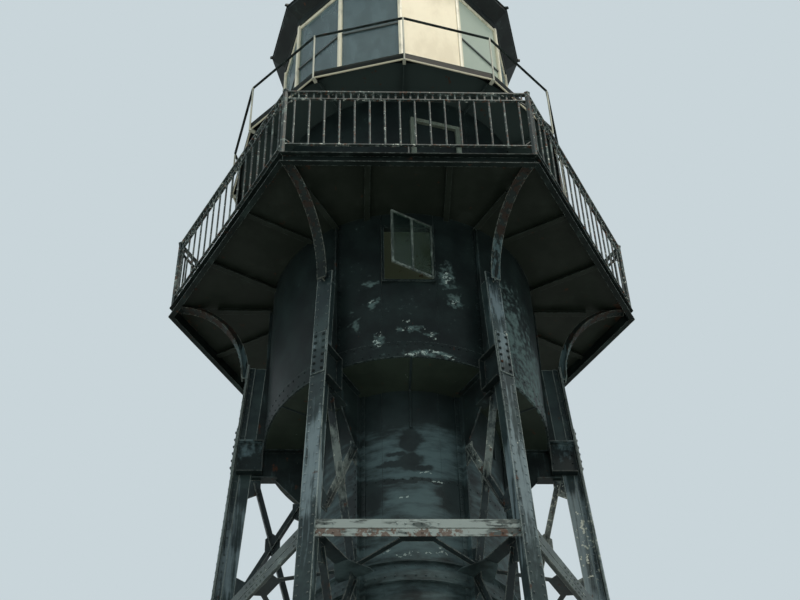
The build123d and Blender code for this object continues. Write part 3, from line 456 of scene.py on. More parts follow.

# Legs: chalked along their length, palest on the right front one; their strong pale edges are worn paint and
# partly painted highlights
legPaint = oilPaint("chalkedGreyBlackOilPaint", "1f2b2c", "303e3d", "84959a",
    filmGrain=(0.05, 0.05, 0.9), filmLevel=0.53, filmSoft=0.2, filmPull=0.2, fleckPull=0.2,
    # edge settings: worn paint and partly painted highlights along the legs' edges
    edgeHex="a3aea8", edgeStrength=0.85, edgeLevel=0.34, edgeWidth=0.011, brushGrain=(0.008, 0.008, 0.3),
    rustLevel=0.9, fleckLevel=0.76, fleckHex="c6cabb", specular=0.2,
    filmSpots=spotsOn(legRadius, (
        (30, 1.4, 0.2, 2.4, 0.03), (30, 2, 0.12, 3, 0.06), (86, 3.4, 0.8, 2.4, 0.10),
        (30, 3.8, 0.4, 2.6, 0.15), (330, 3.5, 0.4, 2.6, 0.15), (270, 3.4, 0.45, 1.8, 0.12))),
    bareSpots=spotsOn(legRadius, (
        (90, 1.6, 0.8, 1.4, 0.06), (270, 1.6, 0.8, 1.4, 0.06), (330, 1.35, 0.45, 1.4, 0.04))),
    fleckSpots=spotsOn(legRadius, (
        (31.5, 1.9, 0.09, 3, 0.05), (31, 3.3, 0.1, 2.5, 0.14), (88, 3.3, 0.4, 2.2, 0.08))))
postPaint = oilPaint("shelteredBlackOilPaint", "151b1b", "1f2928", "3f5052",
    filmGrain=(0.06, 0.06, 0.5), filmStrength=0.4, edgeStrength=0.35, specular=0.12)

# The floor at gallery level is the watch room's ceiling and is painted pale from below. The front struts
# keep their pale coat and rust at their lower angles; the other struts are worn dark.
floorPaint = oilPaint("paleCeilingOilPaint", "252d26", "2d362e", "7c8474",
    filmStrength=0.9, specular=0.12, edgeStrength=0.2, filmMask=levelMask(0.5, 0.45, -0.2, 0.4, {}))
strutPaint = oilPaint("palePatchedOilPaint", "333d3b", "48534f", "8f9a96",
    filmGrain=(0.22, 0.22, 0.05), filmLevel=0.49, filmSoft=0.12, filmStrength=0.85, fleckHex="c3cbc0",
    fleckLevel=0.68, edgeHex="aab4ac", rustHex="513627", rustSize=0.07, rustLevel=0.84, runLength=0.05,
    rustMask=frontMask(0.22, -0.1, lowerOnly=True), filmMask=frontMask(0.25, -0.15))

# Braces between the legs and the column, chalked where the open sides let the weather in
braceRadius = 1.3
bracingPaint = oilPaint("greyBlackOilPaint", "1b2324", "2a3536", "7d8781",
    filmGrain=(0.06, 0.06, 0.1), filmLevel=0.6, filmSoft=0.3, filmStrength=0.7, edgeHex="8d938a",
    edgeStrength=0.75, edgeLevel=0.4, fleckHex="b9bcae", fleckSize=0.035, fleckPull=0.16, specular=0.2,
    filmSpots=spotsOn(braceRadius, (
        (88, 3.1, 0.75, 1.6, 0.25), (-31, 3.2, 0.5, 1.8, 0.05), (31, 3, 0.5, 1.6))),
    fleckSpots=spotsOn(braceRadius, ((88, 2.9, 0.5, 1.6, 0.3), (31, 2.9, 0.3, 1.6))))
boxRadius = 1.8
boxPaint = oilPaint("patchedBracketOilPaint", "161d1d", "202a2a", "5f7478",
    filmGrain=(0.06, 0.06, 0.1), filmLevel=0.64, filmSoft=0.3, filmStrength=0.8, edgeHex="8d938a",
    edgeStrength=0.4, edgeLevel=0.4, rustLevel=0.9, specular=0.12,
    filmSpots=spotsOn(boxRadius, ((90, 1.95, 0.5, 1), (270, 1.95, 0.5, 1))))

# The gallery's underside is sooty and rusts brown at its six corners, beyond its flat edges
deckPaint = oilPaint("sootyBlackOilPaint", "161c16", "1c221c", "262d27",
    filmGrain=(0.3, 0.3, 0.3), filmStrength=0.5, fleckLevel=0.84, edgeStrength=0.2, rustHex="35241a",
    rustLevel=0.88, smooth=0.6, rough=0.85, specular=0.1,
    rustMask=rimMask("main_deck", halfSide, 0.0, 0.3, 0.0, 0.16))
fasciaPaint = oilPaint("edgeWornBlackOilPaint", "111715", "18201e", "2c3835",
    edgeHex="78857f", edgeWidth=0.007, edgeLevel=0.44, edgeStrength=0.7, rustLevel=0.88, fleckLevel=0.8,
    specular=0.05)

# The curved brackets are brown near the deck, where water hangs. Their pale film fades out up under the deck,
# which is painted shade, and their pale edges are partly painted highlights
bracketPaint = oilPaint("rustEdgedBlackOilPaint", "151b19", "1c2523", "566c6f",
    # strong pale edges: partly worn paint, partly painted highlights on the flanges
    filmGrain=(0.03, 0.03, 0.2), filmStrength=0.6, edgeHex="858a80", edgeWidth=0.012, edgeLevel=0.38,
    edgeStrength=0.8, rustHex="2e221b", rustLevel=0.82, rustStrength=0.7, specular=0.1, barePull=0.3,
    bareSpots=spotsOn(legRadius, ((330, 0.75, 0.5, 1.3),)), rustMask=levelMask(0.75, 0.45, -0.12, 0.12),
    # painted shade: less pale film towards the deck, more at the feet
    filmMask=levelMask(0.7, 0.4, 0.18, -0.12))
railPaint = oilPaint("speckledRailOilPaint", "212a28", "313c39", "7d8b86",
    filmGrain=(0.05, 0.05, 0.12), filmLevel=0.52, filmStrength=0.7, fleckHex="c9cec2", fleckSize=0.035,
    fleckLevel=0.62, rustHex="64402c", rustSize=0.05, rustLevel=0.8, runLength=0.12, edgeStrength=0.4)

# The lantern's gallery is greyer below than at its black rim, which ends in a pale stripe
stripeHeight = 0.022
upperDeckPaint = oilPaint("stripedBlackOilPaint", "111615", "181f1d", "35403e",
    filmStrength=0.95, edgeStrength=0.15, rustLevel=0.88, fleckLevel=0.8, specular=0.04, stripeHex="c3bea6",
    stripeTop=levels("lantern_deck")[0] + stripeHeight,
    filmMask=rimMask("lantern_deck", halfPane, -0.05, -0.03, 0.4, -0.3, {}))
roofPaint = oilPaint("blackRoofOilPaint", "121716", "1b2220", "3b4744",
    filmGrain=(0.15, 0.15, 0.4), rustLevel=0.88, edgeHex="5f6b67", edgeStrength=0.5, specular=0.15)
sashPaint = oilPaint("thinGreySashOilPaint", "2e3733", "3f4a45", "8b968f",
    filmGrain=(0.04, 0.04, 0.1), filmLevel=0.5, fleckSize=0.03, fleckLevel=0.66, rustHex="5c3c2a",
    rustSize=0.05, edgeHex="939d95", edgeWidth=0.005)
doorFramePaint = oilPaint("dullGreyDoorOilPaint", "5b6459", "6d7669", "858e80",
    filmGrain=(0.06, 0.06, 0.2), filmLevel=0.5, edgeHex="98a094", rustSize=0.06, rustLevel=0.84)

# Cream lead paint on the lantern's glazing frames: dirt in the brush strokes, and small rust stains
creamOilPaint = {
    "creamHex": "ddd6bd",
    "dirtHex": "9a9884",
    "dirtSize": 0.12,
    "dirtTall": 3,
    "dirtRange": (0.48, 0.7),
    "dirtStrength": 0.7,
    "rustHex": "74492c",
    "rustSize": 0.05,
    "rustRange": (0.68, 0.72),
    "rustStrength": 0.85,
    "strokeGrain": (0.01, 0.01, 0.3),
    "strokeDepth": 0.0008,
    "strokeStrength": 0.7,
    "roughness": 0.5,
    "bandHex": "3c4340",  # the transom is painted dark
    "bandRise": 1.12,     # its middle, above the foot of the frames
    "bandHalf": 0.018,
}


def creamPaint(name, banded=False, **changes):
    look = {**creamOilPaint, **changes}
    material, tree, coords = newMaterial(name)
    size = look["dirtSize"]
    dirt = cloud(tree, coords, [size, size, size * look["dirtTall"]], 7.7)
    grains = cloud(tree, coords, [look["rustSize"]] * 3, 17.1, 7.0)
    strokes = cloud(tree, coords, look["strokeGrain"], 2.9, 3.0)
    colour = hexToLinear(look["creamHex"])
    for kind, pattern in (("dirt", dirt), ("rust", grains)):
        limits = [*look[kind + "Range"], 0.0, look[kind + "Strength"]]
        share = addNode(tree, "MapRange", [pattern, *limits], softStep)
        colour = layered(tree, colour, [(share, look[kind + "Hex"])])
    if banded:
        middle = levels("lantern_frames")[0] + look["bandRise"]
        height = addNode(tree, "SeparateXYZ", [coords]).outputs[2]
        within = addNode(tree, "COMPARE", [height, middle, look["bandHalf"]])
        colour = layered(tree, colour, [(within, look["bandHex"])])
    raised = {"Height": strokes, "Distance": look["strokeDepth"], "Strength": look["strokeStrength"]}
    bump = addNode(tree, "Bump", raised)
    return finishSurface(material, {"Base Color": colour, "Normal": bump, "Roughness": look["roughness"]})


# Thin drawn window glass: it shows what is behind it and mirrors a little of the sky, under a film of salt
# and dust that lies in wiped streaks
dustyGlass = {
    "tintHex": "dfeae6",
    "dustHex": "6a8084",
    "dustShare": (0.3, 0.5),
    "dustRoughness": 0.4,
    "wipeGrain": (0.25, 0.25, 0.6),
    "wipeRange": (0.4, 0.62),
    "mirrorShare": 0.08,   # of the sky that each face gives back
    "mirrorRoughness": 0.03,
    "washed": None,        # middle azimuth of a pane painted pale all over: painted light for the bright sky seen through it
    "skyPaintHex": "a7b3a3",
}


def windowGlass(name, **changes):
    look = {**dustyGlass, **changes}
    material, tree, coords = newMaterial(name)
    dust = cloud(tree, coords, look["wipeGrain"], 9.1, 6.0)
    share = addNode(tree, "MapRange", [dust, *look["wipeRange"], *look["dustShare"]], softStep)
    colour = hexToLinear(look["dustHex"])
    # painted light: one pane is made opaque and pale, standing for the sky seen through it
    if look["washed"] is not None:
        side, front = [addNode(tree, "VectorMath", [coords, facing(look["washed"])], "DOT_PRODUCT").outputs[1]
                       for facing in (sideways, outward)]
        turn = addNode(tree, "ARCTAN2", [side, front])
        washed = addNode(tree, "COMPARE", [turn, 0.0, math.radians(halfPane)])
        share = addNode(tree, "MAXIMUM", [share, washed])
        colour = layered(tree, colour, [(washed, look["skyPaintHex"])])
    clear = addNode(tree, "BsdfTransparent", {"Color": hexToLinear(look["tintHex"])})
    mirror = addNode(tree, "BsdfGlossy", {"Roughness": look["mirrorRoughness"]})
    pane = addNode(tree, "MixShader", [look["mirrorShare"], clear, mirror])
    film = addNode(tree, "BsdfPrincipled", {"Base Color": colour, "Roughness": look["dustRoughness"]})
    mixed = addNode(tree, "MixShader", [share, pane, film])
    addNode(tree, "OutputMaterial", {"Surface": mixed})
    return material


# Matchboard lining, pale grey-green distemper on tongue and groove pine
boarding = {
    "paintHex": "a7ad9c",
    "dirtHex": "7b8272",
    "dirtGrain": (0.2, 0.2, 0.6),
    "dirtRange": (0.42, 0.7),
    "boardWidth": 0.095,
    "grooveShare": 0.08,
    "grooveDepth": 0.004,
    "roughness": 0.7,
}


def matchboard(name, radius):
    material, tree, coords = newMaterial(name)
    place = addNode(tree, "SeparateXYZ", [coords]).outputs
    turn = addNode(tree, "ARCTAN2", [place[0], place[1]])
    boards = round(2 * math.pi * radius / boarding["boardWidth"])
    across = addNode(tree, "MULTIPLY", [turn, boards / (2 * math.pi)])
    across = addNode(tree, "FRACT", [across])
    groove = addNode(tree, "LESS_THAN", [across, boarding["grooveShare"]])
    dirt = cloud(tree, coords, boarding["dirtGrain"], 4.7)
    dirty = addNode(tree, "MapRange", [dirt, *boarding["dirtRange"]], softStep)
    dirty = addNode(tree, "MAXIMUM", [dirty, groove])
    colour = layered(tree, hexToLinear(boarding["paintHex"]), [(dirty, boarding["dirtHex"])])
    sunk = addNode(tree, "SUBTRACT", [1.0, groove])
    bump = addNode(tree, "Bump", {"Height": sunk, "Distance": boarding["grooveDepth"]})
    return finishSurface(material, {"Base Color": colour, "Normal": bump, "Roughness": boarding["roughness"]})


framePaint = creamPaint("creamLanternPaint", banded=True)
barPaint = creamPaint("creamBarPaint", creamHex="e6dfc6")
# the posts' cream is dulled all over, partly as painted shade for their shaded sides, with dirt as on the
# frames
shadeDulledPostCream = creamPaint("dustAndShadePostPaint", creamHex="a9aa99", dirtHex="6c6f64")
# the pane at 45 degrees carries painted light for the sky seen through it
paneGlass = windowGlass("dustAndPaintedSkyLanternGlass", washed=45.0)
sashGlass = windowGlass("cleanWindowGlass", dustShare=(0.04, 0.2), dustHex="56645f", mirrorShare=0.02)
liningPaint = matchboard("distemperedMatchboard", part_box("drum_lining")[1].x)


def each(stem):
    return [f"{stem}_{k + 1}" for k in range(sideCount)]


finishes = [
    (drumPaint, ["drum_wall", "gallery_door", "lantern_base"]),
    (curbPaint, ["drum_curb", "window_frame"]),
    (columnPaint, ["column_plates", "column_ribs", "column_hubs", "column_door", "column_door_frame"]),
    (legPaint, ["base_shoes", "leg_splices"] + each("leg")),
    (postPaint, ["drum_posts", "radial_beams"]),
    (boxPaint, ["box_brackets"]),
    (floorPaint, ["drum_floors"]),
    (strutPaint, ["side_struts"]),
    (bracingPaint, ["radial_struts", "plan_bracing"] + each("radial_bracing")),
    (deckPaint, ["main_deck", "deck_joists"]),
    (upperDeckPaint, ["lantern_deck"]),
    (fasciaPaint, ["deck_fascia", "lantern_rail"]),
    (bracketPaint, ["gallery_brackets"]),
    (railPaint, ["gallery_posts"] + each("gallery_rail")),
    (roofPaint, ["lantern_eave", "lantern_roof", "ventilator"]),
    (framePaint, ["lantern_frames"]),
    (barPaint, ["lantern_bars"]),
    (shadeDulledPostCream, ["lantern_posts"]),
    (sashPaint, ["window_sash"]),
    (doorFramePaint, ["gallery_door_frame"]),
    (paneGlass, ["lantern_glass"]),
    (sashGlass, ["window_glass"]),
    (liningPaint, ["drum_lining"]),
]
unpainted = set(nodes)
for paint, names in finishes:
    for name in names:
        nodes[name].data.materials.clear()
        nodes[name].data.materials.append(paint)
        unpainted.discard(name)
print("painted, left over:", sorted(unpainted))

# Snap-head rivets, closed with a cup tool and painted over with their plates
rivetHeads = {
    "leg": (0.014, 0.009, 0.100),  # radius, height and pitch
    "splice": (0.019, 0.018, 0.075),
    "plate": (0.012, 0.008, 0.085),
    "gusset": (0.013, 0.009, 0.070),
    "edgeInset": 0.030,
    "sizeSpread": 0.08,
    "seed": 4,
}


def rivetTree():
    tree = bpy.data.node_groups.new("rivetRows", "GeometryNodeTree")
    for name, kind in (("Rows", "Geometry"), ("Pitch", "Float"), ("Head Radius", "Float"),
                       ("Head Height", "Float"), ("Size Spread", "Float"), ("Seed", "Int"),
                       ("Paint", "Material"), ("Rivets", "Geometry")):
        way = "OUTPUT" if name == "Rivets" else "INPUT"
        tree.interface.new_socket(name, in_out=way, socket_type="NodeSocket" + kind)
    given = addNode(tree, "NodeGroupInput").outputs
    curve = addNode(tree, "GeometryNodeMeshToCurve", {"Mesh": given["Rows"]})
    spaced = {"Curve": curve, "Length": given["Pitch"]}
    spaced = addNode(tree, "GeometryNodeResampleCurve", spaced, {"mode": "LENGTH"})
    ball = addNode(tree, "GeometryNodeMeshUVSphere", {"Segments": 8, "Rings": 4, "Radius": 1.0})
    size = addNode(tree, "CombineXYZ", [given["Head Radius"], given["Head Radius"], given["Head Height"]])
    head = addNode(tree, "GeometryNodeTransform", {"Geometry": ball, "Scale": size})
    least = addNode(tree, "SUBTRACT", [1.0, given["Size Spread"]])
    spread = {2: least, 3: 1.0, "Seed": given["Seed"]}
    spread = addNode(tree, "FunctionNodeRandomValue", spread, {"data_type": "FLOAT"}).outputs[1]
    vector = {"data_type": "FLOAT_VECTOR"}
    facing = addNode(tree, "GeometryNodeInputNamedAttribute", {"Name": "outward"}, vector)
    turned = addNode(tree, "FunctionNodeAlignRotationToVector", {"Vector": facing}, {"axis": "Z"})
    heads = {"Points": spaced, "Instance": head, "Rotation": turned, "Scale": spread}
    heads = addNode(tree, "GeometryNodeInstanceOnPoints", heads)
    real = addNode(tree, "GeometryNodeRealizeInstances", [heads])
    smooth = addNode(tree, "GeometryNodeSetShadeSmooth", {"Geometry": real})
    painted = addNode(tree, "GeometryNodeSetMaterial", {"Geometry": smooth, "Material": given["Paint"]})
    addNode(tree, "NodeGroupOutput", [painted])
    return tree


rivetNodes = rivetTree()


def settle(thing):
    # a piece's modifiers are turned into its plain mesh
    rough = thing.data
    made = bpy.data.meshes.new_from_object(thing.evaluated_get(bpy.context.evaluated_depsgraph_get()))
    thing.modifiers.clear()
    thing.data = made
    bpy.data.meshes.remove(rough)
    made.name = thing.name


def driveRivets(name, rows, size, paint):
    # rows are lists of (place, outward direction); each list is one row of rivets
    mesh = bpy.data.meshes.new(name)
    edges = []
    start = 0
    for row in rows:
        edges += [(start + k, start + k + 1) for k in range(len(row) - 1)]
        start += len(row)
    mesh.from_pydata([place for row in rows for place, facing in row], edges, [])
    layer = mesh.attributes.new("outward", "FLOAT_VECTOR", "POINT")
    layer.data.foreach_set("vector", [value for row in rows for place, facing in row for value in facing])
    thing = addObject(name, mesh)
    modifier = thing.modifiers.new("rivets", "NODES")
    modifier.node_group = rivetNodes
    radius, height, pitch = rivetHeads[size]
    values = {"Pitch": pitch, "Head Radius": radius, "Head Height": height,
              "Size Spread": rivetHeads["sizeSpread"], "Seed": rivetHeads["seed"], "Paint": paint}
    for item in rivetNodes.interface.items_tree:
        if item.name in values:
            modifier[item.identifier] = values[item.name]
    settle(thing)
    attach(thing, "root")
    print(name, len(thing.data.polygons), "faces")


def levelArc(radius, level, start, stop, step=2.5):
    # a level row round the tower's axis, facing outwards, with a point about every step degrees
    count = max(2, round(abs(stop - start) / step) + 1)
    angles = [start + (stop - start) * k / (count - 1) for k in range(count)]
    return [(spot(a, radius, level), outward(a)) for a in angles]


def upright(azimuth, radius, ends):
    return [(spot(azimuth, radius, z), outward(azimuth)) for z in ends]


def besideWeb(azimuth, aside, lines):
    # rows on both faces of a plate that stands out from the axis; the lines hold points (radius, level)
    return [[(spot(azimuth, r, z, side * aside), sideways(azimuth) * side) for r, z in line]
            for side in (-1, 1) for line in lines]


# Legs: the cover's outer face leans in with height, and their web stands behind its middle
legIron = {
    "endMargin": 0.060,
    "webFace": 0.016,  # from the leg's middle to the face of an angle
    "webRow": 0.052,  # from the cover's face
    "spliceWidth": 0.150, "spliceWall": 0.010, "spliceMargin": 0.045,
    "near": 0.001,  # points this near a level count as on it
}
legLow, legHigh = levels("leg_1")
legFaceLow, legFaceHigh = [reach("leg_1", outward(halfSide), z - legIron["near"], z + legIron["near"])
                           for z in (legLow, legHigh)]
legWidth = reach("leg_1", sideways(halfSide)) * 2
legBatter = (legFaceLow - legFaceHigh) / (legHigh - legLow)
spliceLevels = sorted({round(p.z, 2) for p in points("leg_splices")})


def legFace(level):
    return legFaceLow - legBatter * (level - legLow)


def onCover(azimuth, wall, width, spans, margin):
    # rows along both edges of a plate on the leg's leaning face, each a margin short of its span's ends
    facing = (outward(azimuth) + Vector((0, 0, legBatter))).normalized()
    inset = width / 2 - rivetHeads["edgeInset"]
    ends = [(low + margin, high - margin) for low, high in spans]
    return [[(spot(azimuth, legFace(z) + wall, z, side * inset), facing) for z in pair]
            for side in (-1, 1) for pair in ends]


def legRivetRows():
    margin = legIron["endMargin"]
    stops = [legLow + margin] + spliceLevels + [legHigh - margin]
    web = [(legFace(z) - legIron["webRow"], z) for z in (legLow + margin, legHigh - margin)]
    rows = []
    for azimuth in legAzimuths:
        for span in zip(stops[::2], stops[1::2]):
            rows += onCover(azimuth, 0.0, legWidth, [span], margin / 2)
        rows += besideWeb(azimuth, legIron["webFace"], [web])
    return rows


def spliceRivetRows():
    wall, width, margin = legIron["spliceWall"], legIron["spliceWidth"], legIron["spliceMargin"]
    rows = []
    for azimuth in legAzimuths:
        for low, high in zip(spliceLevels[::2], spliceLevels[1::2]):
            middle = (low + high) / 2
            rows += onCover(azimuth, wall, width, [(low, middle), (middle, high)], margin)
    return rows


driveRivets("legRivets", legRivetRows(), "leg", legPaint)
driveRivets("spliceBolts", spliceRivetRows(), "splice", postPaint)

# Drum: the curb's two rows, a row at its top, one at gallery level that leaves the front side free, and a row
# on each side of the plates' joints
drumIron = {
    "post": 1.4,       # half the angle that a leg's web plate takes, with room for a head
    "rowHalf": 29,     # and that of a row between two joints
    "curbShare": 1.3,  # of the edge inset, over the curb's lower edge
    "deckShare": 2,    # and over the deck
    "deckMargin": 0.1,
}


def drumRivetRows():
    low, high = levels("drum_curb")
    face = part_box("drum_curb")[1].x
    inset = rivetHeads["edgeInset"]
    post, half, margin = drumIron["post"], drumIron["rowHalf"], drumIron["deckMargin"]
    rows = []
    for azimuth in sideAzimuths:
        for level in (low + inset * drumIron["curbShare"], high - inset):
            rows.append(levelArc(face, level, azimuth - halfSide + post, azimuth + halfSide - post))
        if azimuth:
            level = deckLevel + inset * drumIron["deckShare"]
            rows.append(levelArc(drumRadius, level, azimuth - half, azimuth + half))
        rows.append(levelArc(drumRadius, drumTop - inset, azimuth - half, azimuth + half))
    for azimuth in legAzimuths:
        for turn in (azimuth - post, azimuth + post):
            rows.append(upright(turn, drumRadius, (high + inset, deckLevel - margin)))
            rows.append(upright(turn, drumRadius, (deckLevel + margin, drumTop - margin)))
    return rows


driveRivets("drumRivets", drumRivetRows(), "plate", drumPaint)

# Column: two rows on each rib's base, a row under each lap between two strut rings, and the hubs' bands
columnIron = {
    "ribWall": 0.010,  # what the ribs and bands stand out where their rivets sit
    "bandWall": 0.030,
    "bandRow": 0.05,   # from the middle of a band
    "ribRow": 0.045,   # and of a rib
    "ribEdge": 0.075,
    "endMargin": 0.05,
    "doorTop": 2.0,    # the doorway takes up the lowest lap at the front
}


def columnRivetRows():
    ribFace = columnRadius + columnIron["ribWall"]
    bandFace = columnRadius + columnIron["bandWall"]
    ribRow = math.degrees(columnIron["ribRow"] / ribFace)
    ribEdge = math.degrees(columnIron["ribEdge"] / columnRadius)
    margin = columnIron["endMargin"]
    stops = [0.0] + sorted(ringLevels) + [drumFoot]
    rows = []
    for azimuth in legAzimuths:
        for turn in (azimuth - ribRow, azimuth + ribRow):
            rows.append(upright(turn, ribFace, (margin, drumFoot - margin)))
    for azimuth in sideAzimuths:
        start, stop = azimuth - halfSide + ribEdge, azimuth + halfSide - ribEdge
        for low, high in zip(stops, stops[1:]):
            lap = (low + high) / 2 - rivetHeads["edgeInset"]
            if azimuth or lap > columnIron["doorTop"]:
                rows.append(levelArc(columnRadius, lap, start, stop))
        for level in ringLevels:
            for shift in (-columnIron["bandRow"], columnIron["bandRow"]):
                rows.append(levelArc(bandFace, level + shift, start, stop))
    return rows


driveRivets("columnRivets", columnRivetRows(), "plate", columnPaint)

# Struts: the ends and the middle of both angles
strutIron = {
    "upperRow": 0.050, "lowerRow": 0.045,  # from the level of the ring
    "endMargin": 0.05, "endReach": 0.2, "middleHalf": 0.18,
    "sideHalf": 31,  # degrees of a side, with its legs
}


def strutRivetRows():
    margin, end, middle = strutIron["endMargin"], strutIron["endReach"], strutIron["middleHalf"]
    heights = (strutIron["upperRow"], -strutIron["lowerRow"])
    rows = []
    for level in ringLevels:
        for azimuth in sideAzimuths:
            out, side = outward(azimuth), sideways(azimuth)
            near = [p for p in points("side_struts") if abs(p.z - level) < strutLeg
                    and math.degrees(out.angle(Vector((p.x, p.y, 0)))) < strutIron["sideHalf"]]
            face = max(p.dot(out) for p in near)
            half = max(p.dot(side) for p in near)
            pairs = (margin - half, end - half), (-middle, middle), (half - end, half - margin)
            rows += [[(spot(azimuth, face, level + height, x), out) for x in pair]
                     for height in heights for pair in pairs]
    return rows


driveRivets("strutRivets", strutRivetRows(), "gusset", strutPaint)

# Curved gallery brackets: two rows along the flange, a quarter of an ellipse from foot to tip
bracketIron = {"row": 0.038, "steps": 24, "firstStep": 2, "footSlice": 0.05, "tipSlice": 0.002}


def bracketRivetRows():
    out = outward(halfSide)
    foot = levels("gallery_brackets")[0]
    footRadius = reach("gallery_brackets", out, foot, foot + bracketIron["footSlice"])
    tipRadius = reach("gallery_brackets", out)
    tip = tipRadius - bracketIron["tipSlice"]
    tipLevel = min(p.z for p in points("gallery_brackets") if p.dot(out) > tip)
    across, up = tipRadius - footRadius, tipLevel - foot
    rows = []
    for azimuth in legAzimuths:
        for side in (-1, 1):
            row = []
            for k in range(bracketIron["firstStep"], bracketIron["steps"]):
                turn = math.radians(90 * k / bracketIron["steps"])
                inwards = outward(azimuth) * (math.cos(turn) / across) - Vector((0, 0, math.sin(turn) / up))
                row.append((spot(azimuth, tipRadius - across * math.cos(turn), foot + up * math.sin(turn),
                                 side * bracketIron["row"]), inwards.normalized()))
            rows.append(row)
    return rows


driveRivets("bracketRivets", bracketRivetRows(), "gusset", bracketPaint)

# Box brackets: a ring of rivets on the plate beside each leg's web
boxIron = {"wall": 0.012, "drumMargin": 0.035, "legMargin": 0.055, "inset": 0.045}


def boxRivetRows():
    low, high = levels("box_brackets")
    outer = legFace(high) - boxIron["legMargin"]
    inner = reach("drum_curb", outward(halfPane)) + boxIron["drumMargin"]
    low, high = low + boxIron["inset"], high - boxIron["inset"]
    face = legIron["webFace"] + boxIron["wall"]
    corners = [(inner, low), (outer, low), (outer, high), (inner, high)]
    lines = list(zip(corners, corners[1:] + corners[:1]))
    return [row for azimuth in legAzimuths for row in besideWeb(azimuth, face, lines)]


driveRivets("boxBracketRivets", boxRivetRows(), "plate", boxPaint)

# X braces: rivets where bars and gussets meet
braceIron = {
    "strutStem": 0.075,  # the radial strut stands this far above its ring
    "legRise": 0.3,  # the braces' feet at the leg stand this much higher than at the column
    "haunch": 0.3, "beam": 0.37, "webHalf": 0.006, "legDepth": 0.2, "middleHalf": 0.1,
    "cornerAside": 0.066, "cornerRise": 0.045, "cornerRow": 0.14,
}


def bracingRivetRows():
    beamFoot = drumFoot - braceIron["beam"]
    aside, rise = braceIron["cornerAside"], braceIron["cornerRise"]
    ribSide = reach("column_ribs", outward(halfSide)) + aside
    tops = [(beamFoot, beamFoot - braceIron["haunch"])] + [(level, level) for level in ringLevels]
    feet = [level + braceIron["strutStem"] for level in ringLevels] + [legLow]
    rows = []
    for (topLeg, topHub), foot in zip(tops, feet):
        footLeg = foot + braceIron["legRise"]
        legTop, legFoot = [legFace(z) - braceIron["legDepth"] - aside for z in (topLeg, footLeg)]
        a, b = Vector((legTop, topLeg - rise)), Vector((ribSide, foot + rise))
        c, d = Vector((ribSide, topHub - rise)), Vector((legFoot, footLeg + rise))
        u, v = b - a, d - c
        share = ((c - a).x * v.y - (c - a).y * v.x) / (u.x * v.y - u.y * v.x)
        middle = a + u * share
        u, v = u.normalized(), v.normalized()
        row, half = braceIron["cornerRow"], braceIron["middleHalf"]
        lines = [(a, a + u * row), (b, b - u * row), (c, c + v * row), (d, d - v * row),
                 (middle - u * half, middle + u * half), (middle - v * half, middle + v * half)]
        for azimuth in legAzimuths:
            rows += besideWeb(azimuth, braceIron["webHalf"], lines)
    return rows


driveRivets("bracingRivets", bracingRivetRows(), "gusset", bracingPaint)

# Roof: a row of studs round the gutter's edge
gutterIron = {"endMargin": 0.06, "drop": 0.03}


def gutterRivetRows():
    level = levels("lantern_eave")[1] - gutterIron["drop"]
    face = reach("lantern_eave", outward(halfPane))
    half = face * math.tan(math.radians(halfPane)) - gutterIron["endMargin"]
    return [[(spot(azimuth, face, level, x), outward(azimuth)) for x in (-half, half)]
            for azimuth in paneAzimuths]


driveRivets("gutterRivets", gutterRivetRows(), "plate", roofPaint)


def skinRings(shape, rings):
    for low, high in zip(rings, rings[1:]):
        for a, b, c, d in zip(low, low[1:] + low[:1], high[1:] + high[:1], high):
            shape.faces.new((a, b, c, d))


def addShape(name, shape, paint):
    mesh = bpy.data.meshes.new(name)
    shape.to_mesh(mesh)
    shape.free()
    mesh.materials.append(paint)
    return addObject(name, mesh)


# Joint straps at the middle of each side: under the watch room's floor and down the head of the column
strap = {"width": 0.026, "thickness": 0.009, "sunk": 0.003, "crown": 5,
         "drumGap": 0.004, "bend": 0.02, "drop": 0.49}


def makeStraps():
    shape = bmesh.new()
    half, steps, down = strap["width"] / 2, strap["crown"], Vector((0, 0, -1))
    for azimuth in sideAzimuths:
        out = outward(azimuth)
        rings = []
        for radius, level, facing in ((drumRadius - strap["drumGap"], drumFoot, down),
                                      (columnRadius + strap["bend"], drumFoot, down),
                                      (columnRadius, drumFoot - strap["bend"], out),
                                      (columnRadius, drumFoot - strap["drop"], out)):
            ring = []
            for turn in [math.pi * k / (steps - 1) for k in range(steps)]:
                crest = facing * strap["thickness"] * math.sin(turn)
                ring.append(shape.verts.new(spot(azimuth, radius, level, half * math.cos(turn)) + crest))
            for side in (-half, half):
                ring.append(shape.verts.new(spot(azimuth, radius, level, side) - facing * strap["sunk"]))
            rings.append(ring)
        skinRings(shape, rings)
        shape.faces.new(rings[0])
        shape.faces.new(list(reversed(rings[-1])))
    bmesh.ops.recalc_face_normals(shape, faces=shape.faces)
    thing = addShape("jointStraps", shape, columnPaint)
    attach(thing, "root")


makeStraps()

# A low toe board stands on the edge of the upper gallery, which keeps tools from falling
toeBoard = {"height": 0.032, "thickness": 0.008, "inset": 0.001, "gap": 0.0005}


def makeToeBoard():
    low = levels("lantern_deck")[1] + toeBoard["gap"]
    high = low + toeBoard["height"]
    corner = reach("lantern_deck", outward(0)) - toeBoard["inset"]
    inner = corner - toeBoard["thickness"] / math.cos(math.radians(halfPane))
    profile = [(corner, low), (corner, high), (inner, high), (inner, low)]
    shape = bmesh.new()
    rings = [[shape.verts.new(spot(azimuth, r, z)) for r, z in profile] for azimuth in cornerAzimuths]
    skinRings(shape, rings + rings[:1])
    bmesh.ops.recalc_face_normals(shape, faces=shape.faces)
    thing = addShape("toeBoard", shape, deckPaint)
    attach(thing, "root")


makeToeBoard()

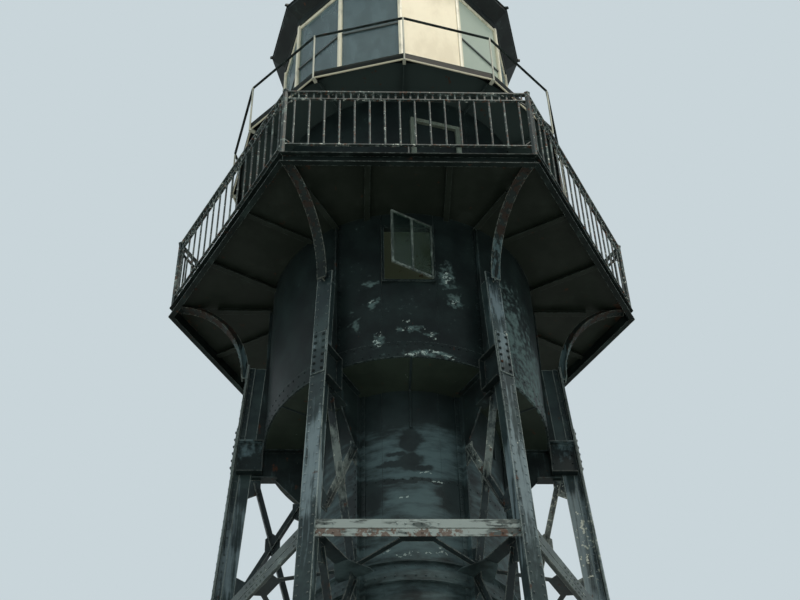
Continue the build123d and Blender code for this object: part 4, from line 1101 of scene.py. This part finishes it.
# A blank of sheet iron covers the front right opening of the lantern from outside, in flat cream paint that
# has kept cleaner than the frames'
blank = {
    "azimuth": 15.0,
    "standOff": 0.001,
    "halfWidth": 0.370,
    "thickness": 0.002,
    "inset": 0.010,
    "columns": 12, "rows": 36,
    "buckle": 0.0015,
    "buckleWaves": (9.0, 1.0),  # turns of the wave up the sheet in radians, and its start
    "paintHex": "e9dcbb",
    "dirtHex": "d8caa8",
    "dirtGrain": (0.3, 0.3, 0.8),
    "dirtRange": (0.4, 0.7),
    "roughness": 0.55,
}


def sheetPaint(name):
    material, tree, coords = newMaterial(name)
    shade = cloud(tree, coords, blank["dirtGrain"], 1.9, 4.0)
    share = addNode(tree, "MapRange", [shade, *blank["dirtRange"]], softStep)
    colour = layered(tree, hexToLinear(blank["paintHex"]), [(share, blank["dirtHex"])])
    return finishSurface(material, {"Base Color": colour, "Roughness": blank["roughness"]})


def makeBlank():
    low, high = levels("lantern_frames")
    out = outward(blank["azimuth"])
    radius = reach("lantern_frames", out) + blank["standOff"] + blank["thickness"] / 2
    columns, rows = blank["columns"], blank["rows"]
    bottom, rise = low + blank["inset"], high - low - 2 * blank["inset"]
    waves, start = blank["buckleWaves"]
    shape = bmesh.new()
    grid = []
    for row in range(rows + 1):
        line = []
        for column in range(columns + 1):
            x = (2 * column / columns - 1) * blank["halfWidth"]
            inside = math.sin(math.pi * column / columns) * math.sin(math.pi * row / rows)
            wave = blank["buckle"] * inside * (1 + math.sin(waves * row / rows + start))
            line.append(shape.verts.new(spot(blank["azimuth"], radius + wave, bottom + rise * row / rows, x)))
        grid.append(line)
    for under, over in zip(grid, grid[1:]):
        for k in range(columns):
            shape.faces.new((under[k], under[k + 1], over[k + 1], over[k]))
    thing = addShape("blankPanel", shape, sheetPaint("creamSheetPaint"))
    skin = thing.modifiers.new("thickness", "SOLIDIFY")
    skin.thickness = blank["thickness"]
    skin.offset = 0.0
    settle(thing)
    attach(thing, "root")


makeBlank()
print("pieces made")
